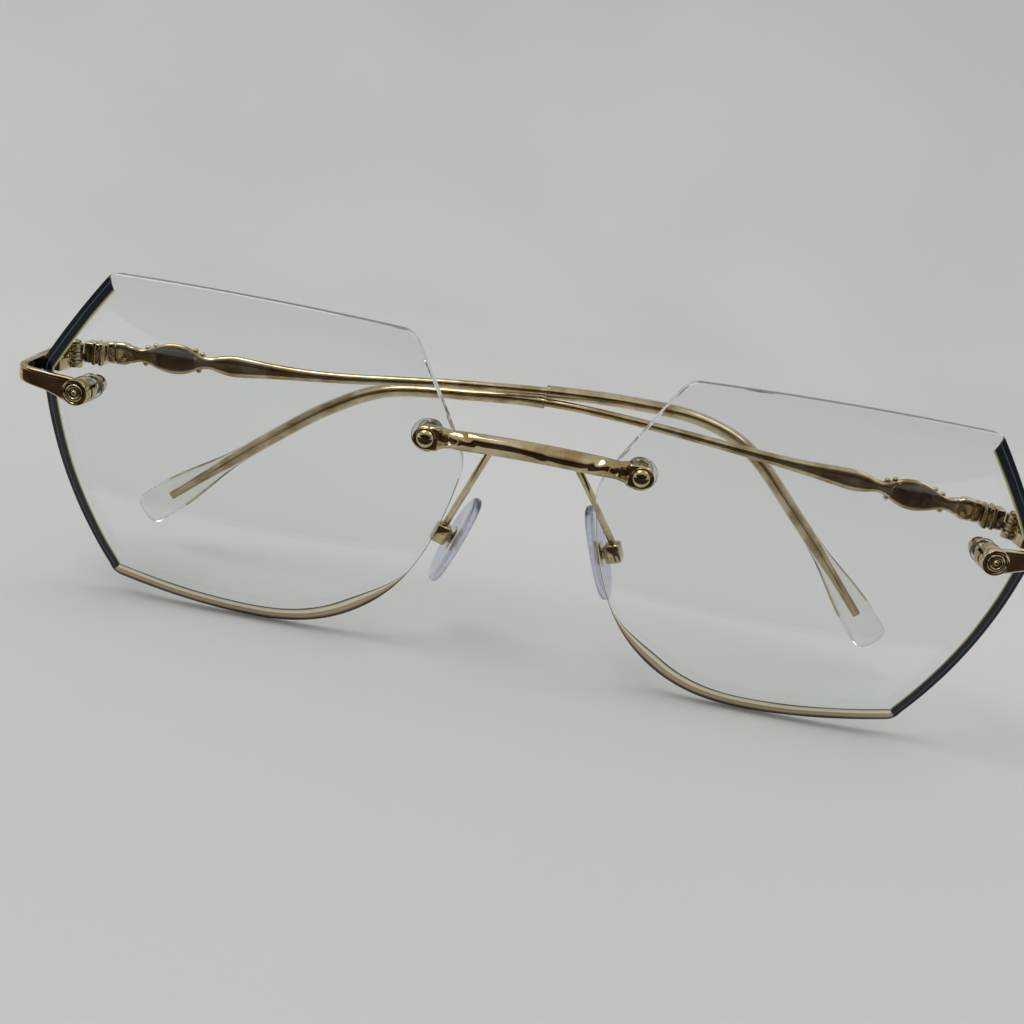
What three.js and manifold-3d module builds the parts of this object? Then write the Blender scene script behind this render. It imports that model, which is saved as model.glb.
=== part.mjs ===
// Rimless eyeglasses, folded: two clear lenses screwed to a metal bridge and two endpieces,
// with ornamented temples in clear sleeves and a pair of clear nose pads on wire arms.
// Millimetres. +Z up as worn, the front faces -Y, and X = 0 is the plane between the lenses.
// The origin is the centre of the bridge bar's flat back.
// "left" and "right" are the wearer's: the left side is +X. Each piece is drawn for the left
// side and mirrored for the right.

import * as THREE from 'three';
import { mergeVertices } from 'three/addons/utils/BufferGeometryUtils.js';
import Module from 'manifold-3d';

const wasm = await Module();
wasm.setup();

// ---------------------------------------------------------------- driving dimensions

const GAP = 0.1;             // clearance between pieces that seat on each other
const RUNNING = 0.08;        // radial clearance of a pin in its bore

const LENS = {
  nasal: 9.1,                // X of the edge next to the nose: half the distance between lenses
  width: 57.6,               // boxed width of one lens
  top: 12.9,                 // highest corner above the bridge centre
  drop: 31,                  // lowest point below the bridge centre
  sideZ: -0.8,               // height of the outermost corner
  noseZ: -3,                 // height of the corner nearest the nose
  thickness: 2.0,
  baseRadius: 200,           // radius of the front surface
  facet: 2.1,                // width of the cut facet along the outer and lower edges
  facetDrop: 0.95,           // how far the facet cuts back into the edge
  arris: 0.12,               // small break on every other edge
};
const lensOuter = LENS.nasal + LENS.width;

const BRIDGE = {
  eyeX: LENS.nasal + 5,      // screw centres
  arch: 0.4,                 // rise of the bar between its eyes
  barHeight: 2.55,
  neckHeight: 2.4,
  barDepth: 1.6,
  eyeRadius: 1.65,
  eyeDepth: 1.9,
};

const ENDPIECE = {
  eyeX: lensOuter - 6.7,     // screw centre
  eyeZ: -2.65,
  eyeRadius: 1.75,
  eyeDepth: 2.9,
  barHeight: 2.5,            // at the eye
  cornerHeight: 2.05,        // from the corner to the hinge
  barDepth: 1.05,
  edgeGap: 0.45,             // free space between the lens edge and the bar that passes it
};

const SCREW = { shaft: 0.55, head: 1.2, recess: 0.5 };
const WASHER = { bridge: 2.2, endpiece: 1.75, thinnest: 0.25 };
const BUSHING = { sleeve: 1.0, flange: 1.7, flangeDepth: 0.6 };
const NUT = { neck: 0.9, cap: 1.3, length: 2.0, floor: 0.5, neckLength: 0.45 };

const HINGE = {
  x: lensOuter - 0.7,
  y: 10.4,
  z: -0.5,
  radius: 1.2,               // knuckle
  height: 3.3,               // the three knuckles together
  pin: 0.5,
  pinHead: 0.85,
  leafDepth: 0.8,
  leafLength: 3.4,
  collarHalf: 1.45,          // half height of the block behind the middle knuckle
  collarRing: 0.15,          // how far its two rings stand out
};

const TEMPLE = {
  slant: 5,                  // degrees that the folded temple leans back
  offset: 1.3,               // temple centre behind the hinge axis
  wire: 0.62,                // radius of the wire in the sleeve
  step: 0.6,                 // temple centre above the hinge centre
  blockStart: 4.3,           // lengths along the temple are from the hinge axis
  coreEnd: 129.5,
  sleeveStart: 66.5,
  sleeveEnd: 135.2,
  sleeveRadius: 0.95,
  paddleHalf: 2.75,           // half height of the flat tip
  paddleDepth: 1.25,         // half thickness of the flat tip
  bead: 0.42,
};

const PAD = {
  length: 14.2,
  width: 6.8,
  depth: 1.3,
  splay: 12,                 // degrees that the pads open towards the face
  lean: 21,                  // degrees that the pads open downwards
  armWire: 0.5,
  armRootX: 5.4,
  box: 2.8,                  // height of the box along the pad
  boxTrim: 0.2,              // how much less the box is across, on each side
  boxWall: 0.45,
  stand: 1.3,                // pad screw's distance behind the pad's back
  screw: 0.3,
  recess: 0.7,               // depth of the insert's seat in the pad's back
  plate: 0.5,                // thickness of the insert
  bevel: 0.4,
  y: 9,                      // pad centre behind the bridge
};

// How each side is bent: a pair of temples and pads is adjusted by hand, so they differ.
// rise: distance inward from the hinge axis and height above the temple's root.
const SIDES = {
  left: {
    mirror: false,
    rise: [[0, 0], [13, 0.65], [31, 1.6], [52, 3.0], [66, 3.25], [77.5, 2.2], [90, 0.3],
      [98, -3.8], [108, -11.4], [136, -34.9]],
    padX: 11.4, padZ: -14.8,
  },
  right: {
    mirror: true,
    rise: [[0, 0], [13, 0.75], [34, 1.65], [52, 3.65], [68, 4.9], [80, 5.15], [89, 4.5],
      [96.5, 1.6], [107, -8.2], [134, -37.4]],
    padX: 9.2, padZ: -16.8,
  },
};

// ---------------------------------------------------------------- materials

const gold = new THREE.MeshStandardMaterial({ color: 0xc9b78f, metalness: 1, roughness: 0.18 });
const screwGold = new THREE.MeshStandardMaterial({ color: 0xd8c9a2, metalness: 1, roughness: 0.22 });
const lensClear = new THREE.MeshStandardMaterial({
  color: 0xeef3f5, metalness: 0, roughness: 0.03, transparent: true, opacity: 0.25,
});
const sleeveClear = new THREE.MeshStandardMaterial({
  color: 0xe9ecec, metalness: 0, roughness: 0.12, transparent: true, opacity: 0.4,
});
const padClear = new THREE.MeshStandardMaterial({
  color: 0xdde0ea, metalness: 0, roughness: 0.2, transparent: true, opacity: 0.5,
});

// ---------------------------------------------------------------- solids

/** A closed mesh as a solid that can be joined and cut. */
function solid(geometry) {
  const plain = geometry.clone();
  for (const name of Object.keys(plain.attributes)) {
    if (name !== 'position') plain.deleteAttribute(name);
  }
  const merged = mergeVertices(plain, 1e-5);
  return new wasm.Manifold(new wasm.Mesh({
    numProp: 3,
    vertProperties: new Float32Array(merged.attributes.position.array),
    triVerts: new Uint32Array(merged.index.array),
  }));
}

/** The mesh of a solid. */
function geometryOf(body) {
  const mesh = body.getMesh();
  const geometry = new THREE.BufferGeometry();
  geometry.setAttribute('position', new THREE.BufferAttribute(mesh.vertProperties, 3));
  geometry.setIndex(new THREE.BufferAttribute(mesh.triVerts, 1));
  geometry.computeVertexNormals();
  return geometry;
}

/** Joins the first list of geometries and cuts the second list out of them. */
function carve(joined, cut = []) {
  let body = solid(joined[0]);
  for (const piece of joined.slice(1)) body = body.add(solid(piece));
  for (const piece of cut) body = body.subtract(solid(piece));
  return geometryOf(body);
}

/** Reverses the faces of a geometry whose volume is negative, so that they point out. */
function facingOut(geometry) {
  const p = geometry.attributes.position;
  const index = geometry.index.array;
  const [a, b, c] = [new THREE.Vector3(), new THREE.Vector3(), new THREE.Vector3()];
  let volume = 0;
  for (let i = 0; i < index.length; i += 3) {
    a.fromBufferAttribute(p, index[i]);
    b.fromBufferAttribute(p, index[i + 1]);
    c.fromBufferAttribute(p, index[i + 2]);
    volume += a.dot(b.cross(c));
  }
  if (volume < 0) {
    for (let i = 0; i < index.length; i += 3) {
      [index[i + 1], index[i + 2]] = [index[i + 2], index[i + 1]];
    }
  }
  geometry.computeVertexNormals();
  return geometry;
}

/** Skins a row of closed rings, each with the same number of points, and closes both ends. */
function skin(rings) {
  const count = rings[0].length;
  const points = rings.flat();
  const index = [];
  for (let r = 0; r + 1 < rings.length; r++) {
    for (let i = 0; i < count; i++) {
      const j = (i + 1) % count;
      const [a, b] = [r * count + i, r * count + j];
      index.push(a, b, b + count, a, b + count, a + count);
    }
  }
  const centre = (ring) => ring.reduce((sum, q) => sum.add(q), new THREE.Vector3())
    .divideScalar(ring.length);
  const first = points.push(centre(rings[0])) - 1;
  const last = points.push(centre(rings[rings.length - 1])) - 1;
  const end = (rings.length - 1) * count;
  for (let i = 0; i < count; i++) {
    const j = (i + 1) % count;
    index.push(first, j, i, last, end + i, end + j);
  }
  const geometry = new THREE.BufferGeometry().setFromPoints(points);
  geometry.setIndex(index);
  return facingOut(geometry);
}

/** The other side's copy of a geometry. */
function mirrored(geometry) {
  return facingOut(geometry.clone().scale(-1, 1, 1));
}

/** A body of varying rounded section along a curve. Each station is
 *  { u: place on the curve from 0 to 1, high: half height, deep: half depth, square }. */
function sweep(curve, stations, sides = 10, up = new THREE.Vector3(0, 0, 1)) {
  return skin(stations.map(({ u, high, deep, square = 2 }) => {
    const centre = curve.getPointAt(u);
    const along = curve.getTangentAt(u);
    const across = new THREE.Vector3().crossVectors(along, up).normalize();
    const rise = new THREE.Vector3().crossVectors(across, along);
    const ring = [];
    for (let i = 0; i < sides; i++) {
      const angle = ((i + 0.5) / sides) * 2 * Math.PI;
      const [c, s] = [Math.cos(angle), Math.sin(angle)];
      const reach = (Math.abs(c) ** square + Math.abs(s) ** square) ** (-1 / square);
      ring.push(centre.clone().addScaledVector(across, c * reach * deep)
        .addScaledVector(rise, s * reach * high));
    }
    return ring;
  }));
}

/** A round body about a line along Y through (x, z), from pairs of radius and Y. */
function turnedY(profile, x, z, segments = 16) {
  const points = profile.map(([r, y]) => new THREE.Vector2(r, y));
  return facingOut(mergedLathe(points, segments).translate(x, 0, z));
}

/** A round body about a vertical line through (x, y), from pairs of radius and Z. */
function turnedZ(profile, x, y, segments = 16) {
  const points = profile.map(([r, z]) => new THREE.Vector2(r, z));
  return facingOut(mergedLathe(points, segments).rotateX(Math.PI / 2).translate(x, y, 0));
}

function mergedLathe(points, segments) {
  const lathe = new THREE.LatheGeometry(points, segments);
  lathe.deleteAttribute('normal');
  lathe.deleteAttribute('uv');
  return mergeVertices(lathe, 1e-5);
}

/** A plain cylinder along Y. */
const rodY = (radius, y0, y1, x, z, segments = 16) =>
  turnedY([[0, y0], [radius, y0], [radius, y1], [0, y1]], x, z, segments);

/** A plain cylinder along Z. */
const rodZ = (radius, z0, z1, x, y, segments = 16) =>
  turnedZ([[0, z0], [radius, z0], [radius, z1], [0, z1]], x, y, segments);

/** A box between two corners. */
function block(x0, x1, y0, y1, z0, z1) {
  return new THREE.BoxGeometry(x1 - x0, y1 - y0, z1 - z0)
    .translate((x0 + x1) / 2, (y0 + y1) / 2, (z0 + z1) / 2);
}

// ---------------------------------------------------------------- lens

const lensCentre = new THREE.Vector2(LENS.nasal + LENS.width / 2, (LENS.top - LENS.drop) / 2 + 0.75);

/** How far the lens surface of a radius has curved back at (x, z). */
function sag(radius, x, z) {
  const r2 = (x - lensCentre.x) ** 2 + (z - lensCentre.y) ** 2;
  return radius - Math.sqrt(radius * radius - r2);
}

/** How far back the lens front lies at the foremost edge of a washer round (x, z). */
function washerSag(x, z, radius) {
  const slope = Math.hypot(x - lensCentre.x, z - lensCentre.y) / LENS.baseRadius;
  return sag(LENS.baseRadius, x, z) - radius * slope;
}

// The foremost point of the lens: its washers reach from the metal eyes, whose backs are at
// Y = 0, to the curved front, and keep their least thickness.
const lensApexY = 2 * GAP + WASHER.thinnest - Math.min(
  washerSag(BRIDGE.eyeX, -BRIDGE.arch, WASHER.bridge),
  washerSag(ENDPIECE.eyeX, ENDPIECE.eyeZ, WASHER.endpiece),
);
const lensFront = (x, z) => lensApexY + sag(LENS.baseRadius, x, z);
const lensBack = (x, z) =>
  lensApexY + LENS.thickness + sag(LENS.baseRadius - LENS.thickness, x, z);

/** The corners that the lens outline is drawn round. */
const CORNER = {
  nose: new THREE.Vector2(LENS.nasal - 0.1, LENS.noseZ),
  topIn: new THREE.Vector2(LENS.nasal + 8.9, LENS.top - 0.4),
  topOut: new THREE.Vector2(lensOuter - 8.5, LENS.top),
  side: new THREE.Vector2(lensOuter + 0.7, LENS.sideZ),    // its rounding takes 0.7 off
  bottomOut: new THREE.Vector2(lensOuter - 11.2, 2.3 - LENS.drop),
  lowest: new THREE.Vector2(LENS.nasal + 25, -LENS.drop),
};

/** The lens outline: a six-sided shape with bulging sides and a long sweep under the nose side. */
function lensOutline() {
  const { nose, lowest } = CORNER;
  const corners = [
    { at: nose, round: 2.2, bulge: 0.1 },
    { at: CORNER.topIn, round: 1.6, bulge: 0.45 },
    { at: CORNER.topOut, round: 1.3, bulge: 0.15 },
    { at: CORNER.side, round: 1.6, bulge: 1.55 },
    { at: CORNER.bottomOut, round: 1.4, bulge: 0 },
  ];
  const path = new THREE.Path();
  const towards = (from, to, d) => to.clone().sub(from).normalize().multiplyScalar(d).add(from);
  const start = towards(nose, CORNER.topIn, corners[0].round);
  path.moveTo(start.x, start.y);
  for (let i = 0; i + 1 < corners.length; i++) {
    const [here, next] = [corners[i], corners[i + 1]];
    const leave = towards(here.at, next.at, here.round);
    const stop = towards(next.at, here.at, next.round);
    const chord = next.at.clone().sub(here.at).normalize();
    const pull = leave.add(stop).multiplyScalar(0.5)
      .addScaledVector(new THREE.Vector2(-chord.y, chord.x), 2 * here.bulge);
    path.quadraticCurveTo(pull.x, pull.y, stop.x, stop.y);
    const beyond = i + 2 < corners.length ? corners[i + 2].at : lowest;
    const rounded = towards(next.at, beyond, next.round);
    path.quadraticCurveTo(next.at.x, next.at.y, rounded.x, rounded.y);
  }
  path.quadraticCurveTo(lowest.x + 9, lowest.y, lowest.x, lowest.y);
  path.bezierCurveTo(lowest.x - 19.5, lowest.y, nose.x + 1.7, nose.y - 11, nose.x + 0.1, nose.y - 2);
  path.quadraticCurveTo(nose.x, nose.y, start.x, start.y);
  return path.getSpacedPoints(110).slice(0, -1);
}

/** How much of the full facet the lens edge has at a point: all of it outside and below. */
function facetShare(point) {
  const { topOut, bottomOut } = CORNER;
  const side = topOut.clone().sub(bottomOut).normalize();
  const beyond = (point.x - bottomOut.x) * side.y - (point.y - bottomOut.y) * side.x;
  const below = THREE.MathUtils.smoothstep(-point.y, LENS.drop * 0.62, LENS.drop * 0.9);
  return Math.max(below, THREE.MathUtils.smoothstep(beyond, -0.6, 0.6));
}

function lens() {
  const outline = lensOutline();
  const count = outline.length;
  const inward = outline.map((_, i) => {
    const step = outline[(i + 1) % count].clone().sub(outline[(i + count - 1) % count]).normalize();
    const normal = new THREE.Vector2(-step.y, step.x);
    const inside = lensCentre.clone().sub(outline[i]);
    return normal.dot(inside) > 0 ? normal : normal.negate();
  });
  const inset = (i, d) => outline[i].clone().addScaledVector(inward[i], d);
  const facetEdge = outline.map((point, i) => inset(i, LENS.arris + LENS.facet * facetShare(point)));
  const ring = (flat, depth) => flat.map((q, i) => new THREE.Vector3(q.x, depth(q, i), q.y));
  const shrunk = (flat, k) => flat.map((q) => lensCentre.clone().lerp(q, k));
  const front = (q) => lensFront(q.x, q.y);
  const back = (q) => lensBack(q.x, q.y);
  const backEdge = outline.map((_, i) => inset(i, LENS.arris));
  const body = skin([
    ...[0.08, 0.4, 0.72].map((k) => ring(shrunk(facetEdge, k), front)),
    ring(facetEdge, front),
    ring(outline, (q) => front(q) + LENS.arris + LENS.facetDrop * facetShare(q)),
    ring(outline, (q) => back(q) - LENS.arris),
    ring(backEdge, back),
    ...[0.72, 0.4, 0.08].map((k) => ring(shrunk(backEdge, k), back)),
  ]);
  const hole = (x, z) => rodY(BUSHING.sleeve + GAP, -5, 8, x, z);
  return carve([body], [hole(BRIDGE.eyeX, -BRIDGE.arch), hole(ENDPIECE.eyeX, ENDPIECE.eyeZ)]);
}

// ---------------------------------------------------------------- screwed joints in the lens

const bore = SCREW.shaft + RUNNING;

/** A ring between a flat seat and a lens surface that it follows. */
function drapedRing(inner, outer, seatY, surface, x, z) {
  const ring = mergedLathe([[inner, 0], [outer, 0], [outer, 1], [inner, 1], [inner, 0]]
    .map(([r, y]) => new THREE.Vector2(r, y)), 16).translate(x, 0, z);
  const p = ring.attributes.position;
  for (let i = 0; i < p.count; i++) {
    const onLens = surface(p.getX(i), p.getZ(i));
    p.setY(i, THREE.MathUtils.lerp(seatY, onLens, p.getY(i)));
  }
  return facingOut(ring);
}

/** Clear washer between the metal eye, whose back is at Y = 0, and the lens. */
const frontWasher = (x, z, radius) =>
  drapedRing(bore, radius, GAP, (px, pz) => lensFront(px, pz) - GAP, x, z);

/** Where the flange of a bushing ends behind the lens. */
const flangeY = (x, z) => lensBack(x, z) + GAP + BUSHING.flangeDepth;

/** Clear bushing: a sleeve in the lens hole with a flange behind it. */
function bushing(x, z) {
  const flange = drapedRing(bore, BUSHING.flange, flangeY(x, z),
    (px, pz) => lensBack(px, pz) + GAP, x, z);
  const start = lensFront(x, z) + 2 * GAP;
  const sleeve = turnedY([[bore, start], [BUSHING.sleeve, start], [BUSHING.sleeve, flangeY(x, z)],
    [bore, flangeY(x, z)], [bore, start]], x, z);
  return carve([flange, sleeve]);
}

/** Cap nut behind the bushing, open at the front for the screw. */
function capNut(x, z) {
  const start = flangeY(x, z) + GAP;
  const end = start + NUT.length;
  const inside = end - NUT.floor;
  const shoulder = start + NUT.neckLength;
  return turnedY([[0, inside], [bore, inside], [bore, start], [NUT.neck, start],
    [NUT.neck, shoulder], [NUT.cap, shoulder + 0.15], [NUT.cap, end - 0.45],
    [NUT.cap - 0.2, end - 0.13], [NUT.cap - 0.5, end], [0, end]], x, z);
}

/** Screw with a given head outline, from its seat in a metal eye to inside the cap nut. */
function lensScrew(x, z, seatY, headOutline) {
  const end = flangeY(x, z) + NUT.length - NUT.floor - GAP;
  return turnedY([...headOutline.map(([r, h]) => [r, seatY - h]), [SCREW.head, seatY],
    [SCREW.shaft, seatY], [SCREW.shaft, end], [0, end]], x, z);
}

const ballHead = Array.from({ length: 5 }, (_, i) => {
  const angle = (i / 4) * (Math.PI / 2);
  return [SCREW.head * Math.sin(angle), 0.15 + 0.95 * Math.cos(angle)];
});
const ringedHead = [[0, 0.62], [0.28, 0.55], [0.45, 0.35], [0.6, 0.3], [0.72, 0.5],
  [0.95, 0.5], [SCREW.head, 0.36]];

// ---------------------------------------------------------------- bridge

/** One section of the bridge bar: a flat back and a rolling relief in front. */
function bridgeRing(x) {
  const { lerp, smoothstep } = THREE.MathUtils;
  const t = x / (BRIDGE.eyeX - 1);
  const middle = 1 - smoothstep(Math.abs(t), 0.62, 0.86);
  const flare = smoothstep(Math.abs(x), BRIDGE.eyeX - 3.4, BRIDGE.eyeX - 0.7);
  const bar = lerp(BRIDGE.neckHeight, BRIDGE.barHeight, middle) / 2;
  const high = lerp(bar, BRIDGE.eyeRadius * 0.95, flare);
  const deep = BRIDGE.barDepth * lerp(0.8, 1, middle);
  const centreZ = -BRIDGE.arch * (x / BRIDGE.eyeX) ** 2;
  const roll = 0.5 * Math.sin(t * 4.2);
  const points = [-0.72, 0.72].map((side) => new THREE.Vector3(x, 0, centreZ + high * side));
  for (let i = 0; i <= 7; i++) {
    const angle = (1 - i / 3.5) * (Math.PI / 2);
    const ridge = 0.9 + 0.16 * middle * Math.cos(angle - roll * 2);
    const out = 0.32 + 0.68 * Math.cos(angle) ** 0.8 * ridge;
    points.push(new THREE.Vector3(x, -deep * out, centreZ + high * Math.sin(angle)));
  }
  return points;
}

/** The sculpted bridge bar, with an eye for a screw at each end. */
function bridge() {
  const steps = 30;
  const reach = BRIDGE.eyeX - 0.4;
  const front = -BRIDGE.eyeDepth;
  const rings = Array.from({ length: steps + 1 }, (_, i) => bridgeRing(reach * ((2 * i) / steps - 1)));
  const bar = skin(rings);
  const eyes = [];
  const holes = [];
  for (const x of [-BRIDGE.eyeX, BRIDGE.eyeX]) {
    eyes.push(turnedY([[0, 0], [BRIDGE.eyeRadius, 0], [BRIDGE.eyeRadius, front + 0.3],
      [BRIDGE.eyeRadius - 0.2, front], [0, front]], x, -BRIDGE.arch, 24));
    holes.push(rodY(bore, -4, 1, x, -BRIDGE.arch));
    holes.push(rodY(SCREW.head + RUNNING, front - 2, front + SCREW.recess, x, -BRIDGE.arch));
  }
  return carve([bar, ...eyes], holes);
}

// ---------------------------------------------------------------- endpiece and hinge

const leafInnerX = HINGE.x - 0.3;
const leafOuterX = leafInnerX + HINGE.leafDepth;
const hingeBottom = HINGE.z - HINGE.height / 2;
const hingeTop = HINGE.z + HINGE.height / 2;
const knuckle = (HINGE.height - 2 * GAP) / 3;

/** The endpiece: an eye on the lens, a bar out to the corner and back round the lens edge. */
function endpiece() {
  const outside = lensOuter + ENDPIECE.edgeGap + ENDPIECE.barDepth / 2;
  const barY = -ENDPIECE.eyeDepth + 0.35 + ENDPIECE.barDepth / 2;
  const endX = leafOuterX + GAP + ENDPIECE.barDepth / 2;
  const endZ = HINGE.z + TEMPLE.step;
  const curve = new THREE.CatmullRomCurve3([
    new THREE.Vector3(ENDPIECE.eyeX, barY, ENDPIECE.eyeZ),
    new THREE.Vector3(outside - 4.2, barY, ENDPIECE.eyeZ + 0.7),
    new THREE.Vector3(outside - 0.9, barY + 0.1, ENDPIECE.eyeZ + 1.2),
    new THREE.Vector3(outside - 0.1, barY + 0.9, ENDPIECE.eyeZ + 1.35),
    new THREE.Vector3(outside, barY + 4, ENDPIECE.eyeZ + 1.75),
    new THREE.Vector3(endX, HINGE.y - HINGE.radius - 2.4, endZ - 0.2),
    new THREE.Vector3(endX, HINGE.y - HINGE.radius - GAP, endZ),
  ], false, 'centripetal');
  const stations = Array.from({ length: 23 }, (_, i) => {
    const u = i / 22;
    const slim = THREE.MathUtils.smoothstep(u, 0.15, 0.45);
    const high = THREE.MathUtils.lerp(ENDPIECE.barHeight, ENDPIECE.cornerHeight, slim) / 2;
    return { u, high, deep: ENDPIECE.barDepth / 2, square: 3.5 };
  });
  const bar = sweep(curve, stations);
  const front = -ENDPIECE.eyeDepth;
  const eye = turnedY([[0, 0], [ENDPIECE.eyeRadius, 0], [ENDPIECE.eyeRadius, front + 0.25],
    [ENDPIECE.eyeRadius - 0.25, front], [0, front]], ENDPIECE.eyeX, ENDPIECE.eyeZ);
  return carve([bar, eye], [
    rodY(bore, -5, 1, ENDPIECE.eyeX, ENDPIECE.eyeZ),
    rodY(SCREW.head + RUNNING, front - 2, front + SCREW.recess, ENDPIECE.eyeX, ENDPIECE.eyeZ),
  ]);
}

/** Leaf on the endpiece, with the upper and lower knuckles. */
function frontLeaf() {
  const plateEnd = HINGE.y - HINGE.radius - GAP;
  const plateStart = plateEnd - HINGE.leafLength;
  const pieces = [block(leafInnerX, leafOuterX, plateStart, plateEnd, hingeBottom, hingeTop)];
  for (const z0 of [hingeBottom, hingeTop - knuckle]) {
    pieces.push(rodZ(HINGE.radius, z0, z0 + knuckle, HINGE.x, HINGE.y));
    pieces.push(block(leafInnerX, leafOuterX, plateEnd - 0.5, HINGE.y, z0, z0 + knuckle));
  }
  return carve(pieces, [rodZ(HINGE.pin + RUNNING, hingeBottom - 1, hingeTop + 1, HINGE.x, HINGE.y)]);
}

/** The screw that the hinge turns on. */
function hingeScrew() {
  return turnedZ([[0, hingeBottom - 0.1], [HINGE.pin, hingeBottom - 0.1], [HINGE.pin, hingeTop + GAP],
    [HINGE.pinHead, hingeTop + GAP], [HINGE.pinHead, hingeTop + 0.35], [0.55, hingeTop + 0.5],
    [0, hingeTop + 0.5]], HINGE.x, HINGE.y);
}

// ---------------------------------------------------------------- temple

const slant = THREE.MathUtils.degToRad(TEMPLE.slant);

/** Place at a distance along the folded temple, at a height, and a depth behind its hinge axis. */
function onTemple(distance, height, depth) {
  return new THREE.Vector3(
    HINGE.x - distance * Math.cos(slant) + depth * Math.sin(slant),
    HINGE.y + distance * Math.sin(slant) + depth * Math.cos(slant),
    HINGE.z + TEMPLE.step + height,
  );
}

/** The temple's centre line from the hinge to the tip. */
function templeCurve(side) {
  return new THREE.CatmullRomCurve3(
    side.rise.map(([distance, height]) => onTemple(distance, height, TEMPLE.offset)), false, 'centripetal');
}

// Half height and half depth of the ornamented temple at lengths from the hinge axis.
const ORNAMENT = [
  { d: TEMPLE.blockStart, high: 1.35, deep: 0.9, square: 4 },
  { d: 6.6, high: 1.4, deep: 0.9, square: 4 },
  { d: 7.6, high: 1.15, deep: 0.8, square: 3 }, { d: 8.7, high: 0.95, deep: 0.7, square: 2.5 },
  { d: 9.6, high: 1.1, deep: 0.65 }, { d: 11, high: 1.65, deep: 0.62 },
  { d: 12.4, high: 2.05, deep: 0.62 }, { d: 13.8, high: 2.15, deep: 0.62 },
  { d: 15.2, high: 1.9, deep: 0.62 }, { d: 16.6, high: 1.3, deep: 0.62 },
  { d: 17.8, high: 0.9, deep: 0.65 }, { d: 18.8, high: 0.92, deep: 0.68 },
  { d: 20, high: 1.25, deep: 0.72 }, { d: 21.8, high: 1.5, deep: 0.75 },
  { d: 24, high: 1.38, deep: 0.74 }, { d: 28, high: 1.05, deep: 0.72 },
  { d: 34, high: 0.8, deep: 0.68 }, { d: 44, high: 0.68, deep: 0.64 },
  { d: 54, high: TEMPLE.wire, deep: TEMPLE.wire },
];

// Beads above and below the leaf: distance, side of the centre line, and reach from it.
const BEADS = [
  { d: 9.7, up: 1, reach: 1.1 }, { d: 10.8, up: 1, reach: 1.5 }, { d: 9.5, up: -1, reach: 1.05 },
  { d: 16.3, up: 1, reach: 1.45 }, { d: 17.3, up: 1, reach: 1.05 }, { d: 16.9, up: -1, reach: 1.2 },
];

function templeArm(side) {
  const curve = templeCurve(side);
  const total = curve.getLength();
  const ornament = ORNAMENT.map(({ d, ...section }) => ({ u: d / total, ...section }));
  const wireStart = ORNAMENT[ORNAMENT.length - 1].d;
  const wireSteps = 18;
  const wire = Array.from({ length: wireSteps }, (_, i) => ({
    u: THREE.MathUtils.lerp(wireStart, TEMPLE.coreEnd, (i + 1) / wireSteps) / total,
    high: TEMPLE.wire,
    deep: TEMPLE.wire,
  }));
  const beads = BEADS.map(({ d, up, reach }) => {
    const centre = curve.getPointAt(d / total);
    return new THREE.SphereGeometry(TEMPLE.bead, 8, 6).translate(centre.x, centre.y, centre.z + up * reach);
  });
  return carve([sweep(curve, [...ornament, ...wire]), ...beads]);
}

/** Clear sleeve over the rear of the temple, ending in a flat rounded tip. */
function templeTip(side) {
  const curve = templeCurve(side);
  const total = curve.getLength();
  const length = TEMPLE.sleeveEnd - TEMPLE.sleeveStart;
  const shell = Array.from({ length: 25 }, (_, i) => {
    const t = i < 17 ? (i / 17) * 0.9 : 0.9 + 0.1 * Math.sin(((i - 17) / 7) * (Math.PI / 2));
    const flare = THREE.MathUtils.smoothstep(t, 0.7, 0.93);
    const round = Math.sqrt(Math.max(0.04, 1 - Math.max(0, (t - 0.955) / 0.045) ** 2));
    const swell = TEMPLE.sleeveRadius + 0.12 * Math.min(1, t * 3);
    return {
      u: (TEMPLE.sleeveStart + length * t) / total,
      high: THREE.MathUtils.lerp(swell, TEMPLE.paddleHalf, flare) * round,
      deep: THREE.MathUtils.lerp(swell, TEMPLE.paddleDepth, flare) * Math.max(round, 0.4),
      square: 2 + 0.4 * flare,
    };
  });
  const hollow = Array.from({ length: 19 }, (_, i) => ({
    u: THREE.MathUtils.lerp(TEMPLE.sleeveStart - 2, TEMPLE.coreEnd + 3 * GAP, i / 18) / total,
    high: TEMPLE.wire + 1.5 * RUNNING,
    deep: TEMPLE.wire + 1.5 * RUNNING,
  }));
  return carve([sweep(curve, shell, 12)], [sweep(curve, hollow, 8)]);
}

/** Leaf on the temple: the middle knuckle and a collar block with two raised rings. */
function templeLeaf() {
  const z0 = hingeBottom + knuckle + GAP;
  const middle = HINGE.z + TEMPLE.step;
  const collar = (from, to, grow) => block(HINGE.x - to, HINGE.x - from, HINGE.y - 0.45 - grow,
    HINGE.y + 2.2 + grow, middle - HINGE.collarHalf - grow, middle + HINGE.collarHalf + grow);
  const turn = (geometry) => geometry.translate(-HINGE.x, -HINGE.y, 0).rotateZ(-slant)
    .translate(HINGE.x, HINGE.y, 0);
  const tongue = block(HINGE.x - 2.2, HINGE.x, HINGE.y - 0.45, HINGE.y + 0.75, z0, z0 + knuckle);
  const end = TEMPLE.blockStart - GAP;
  return carve([
    rodZ(HINGE.radius, z0, z0 + knuckle, HINGE.x, HINGE.y),
    turn(tongue),
    turn(collar(HINGE.radius + 2 * GAP, end, 0)),
    turn(collar(end - 1.65, end - 1.15, HINGE.collarRing)),
    turn(collar(end - 0.75, end - 0.2, HINGE.collarRing)),
  ], [rodZ(HINGE.pin + RUNNING, hingeBottom - 1, hingeTop + 1, HINGE.x, HINGE.y)]);
}

// ---------------------------------------------------------------- nose pads

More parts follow.
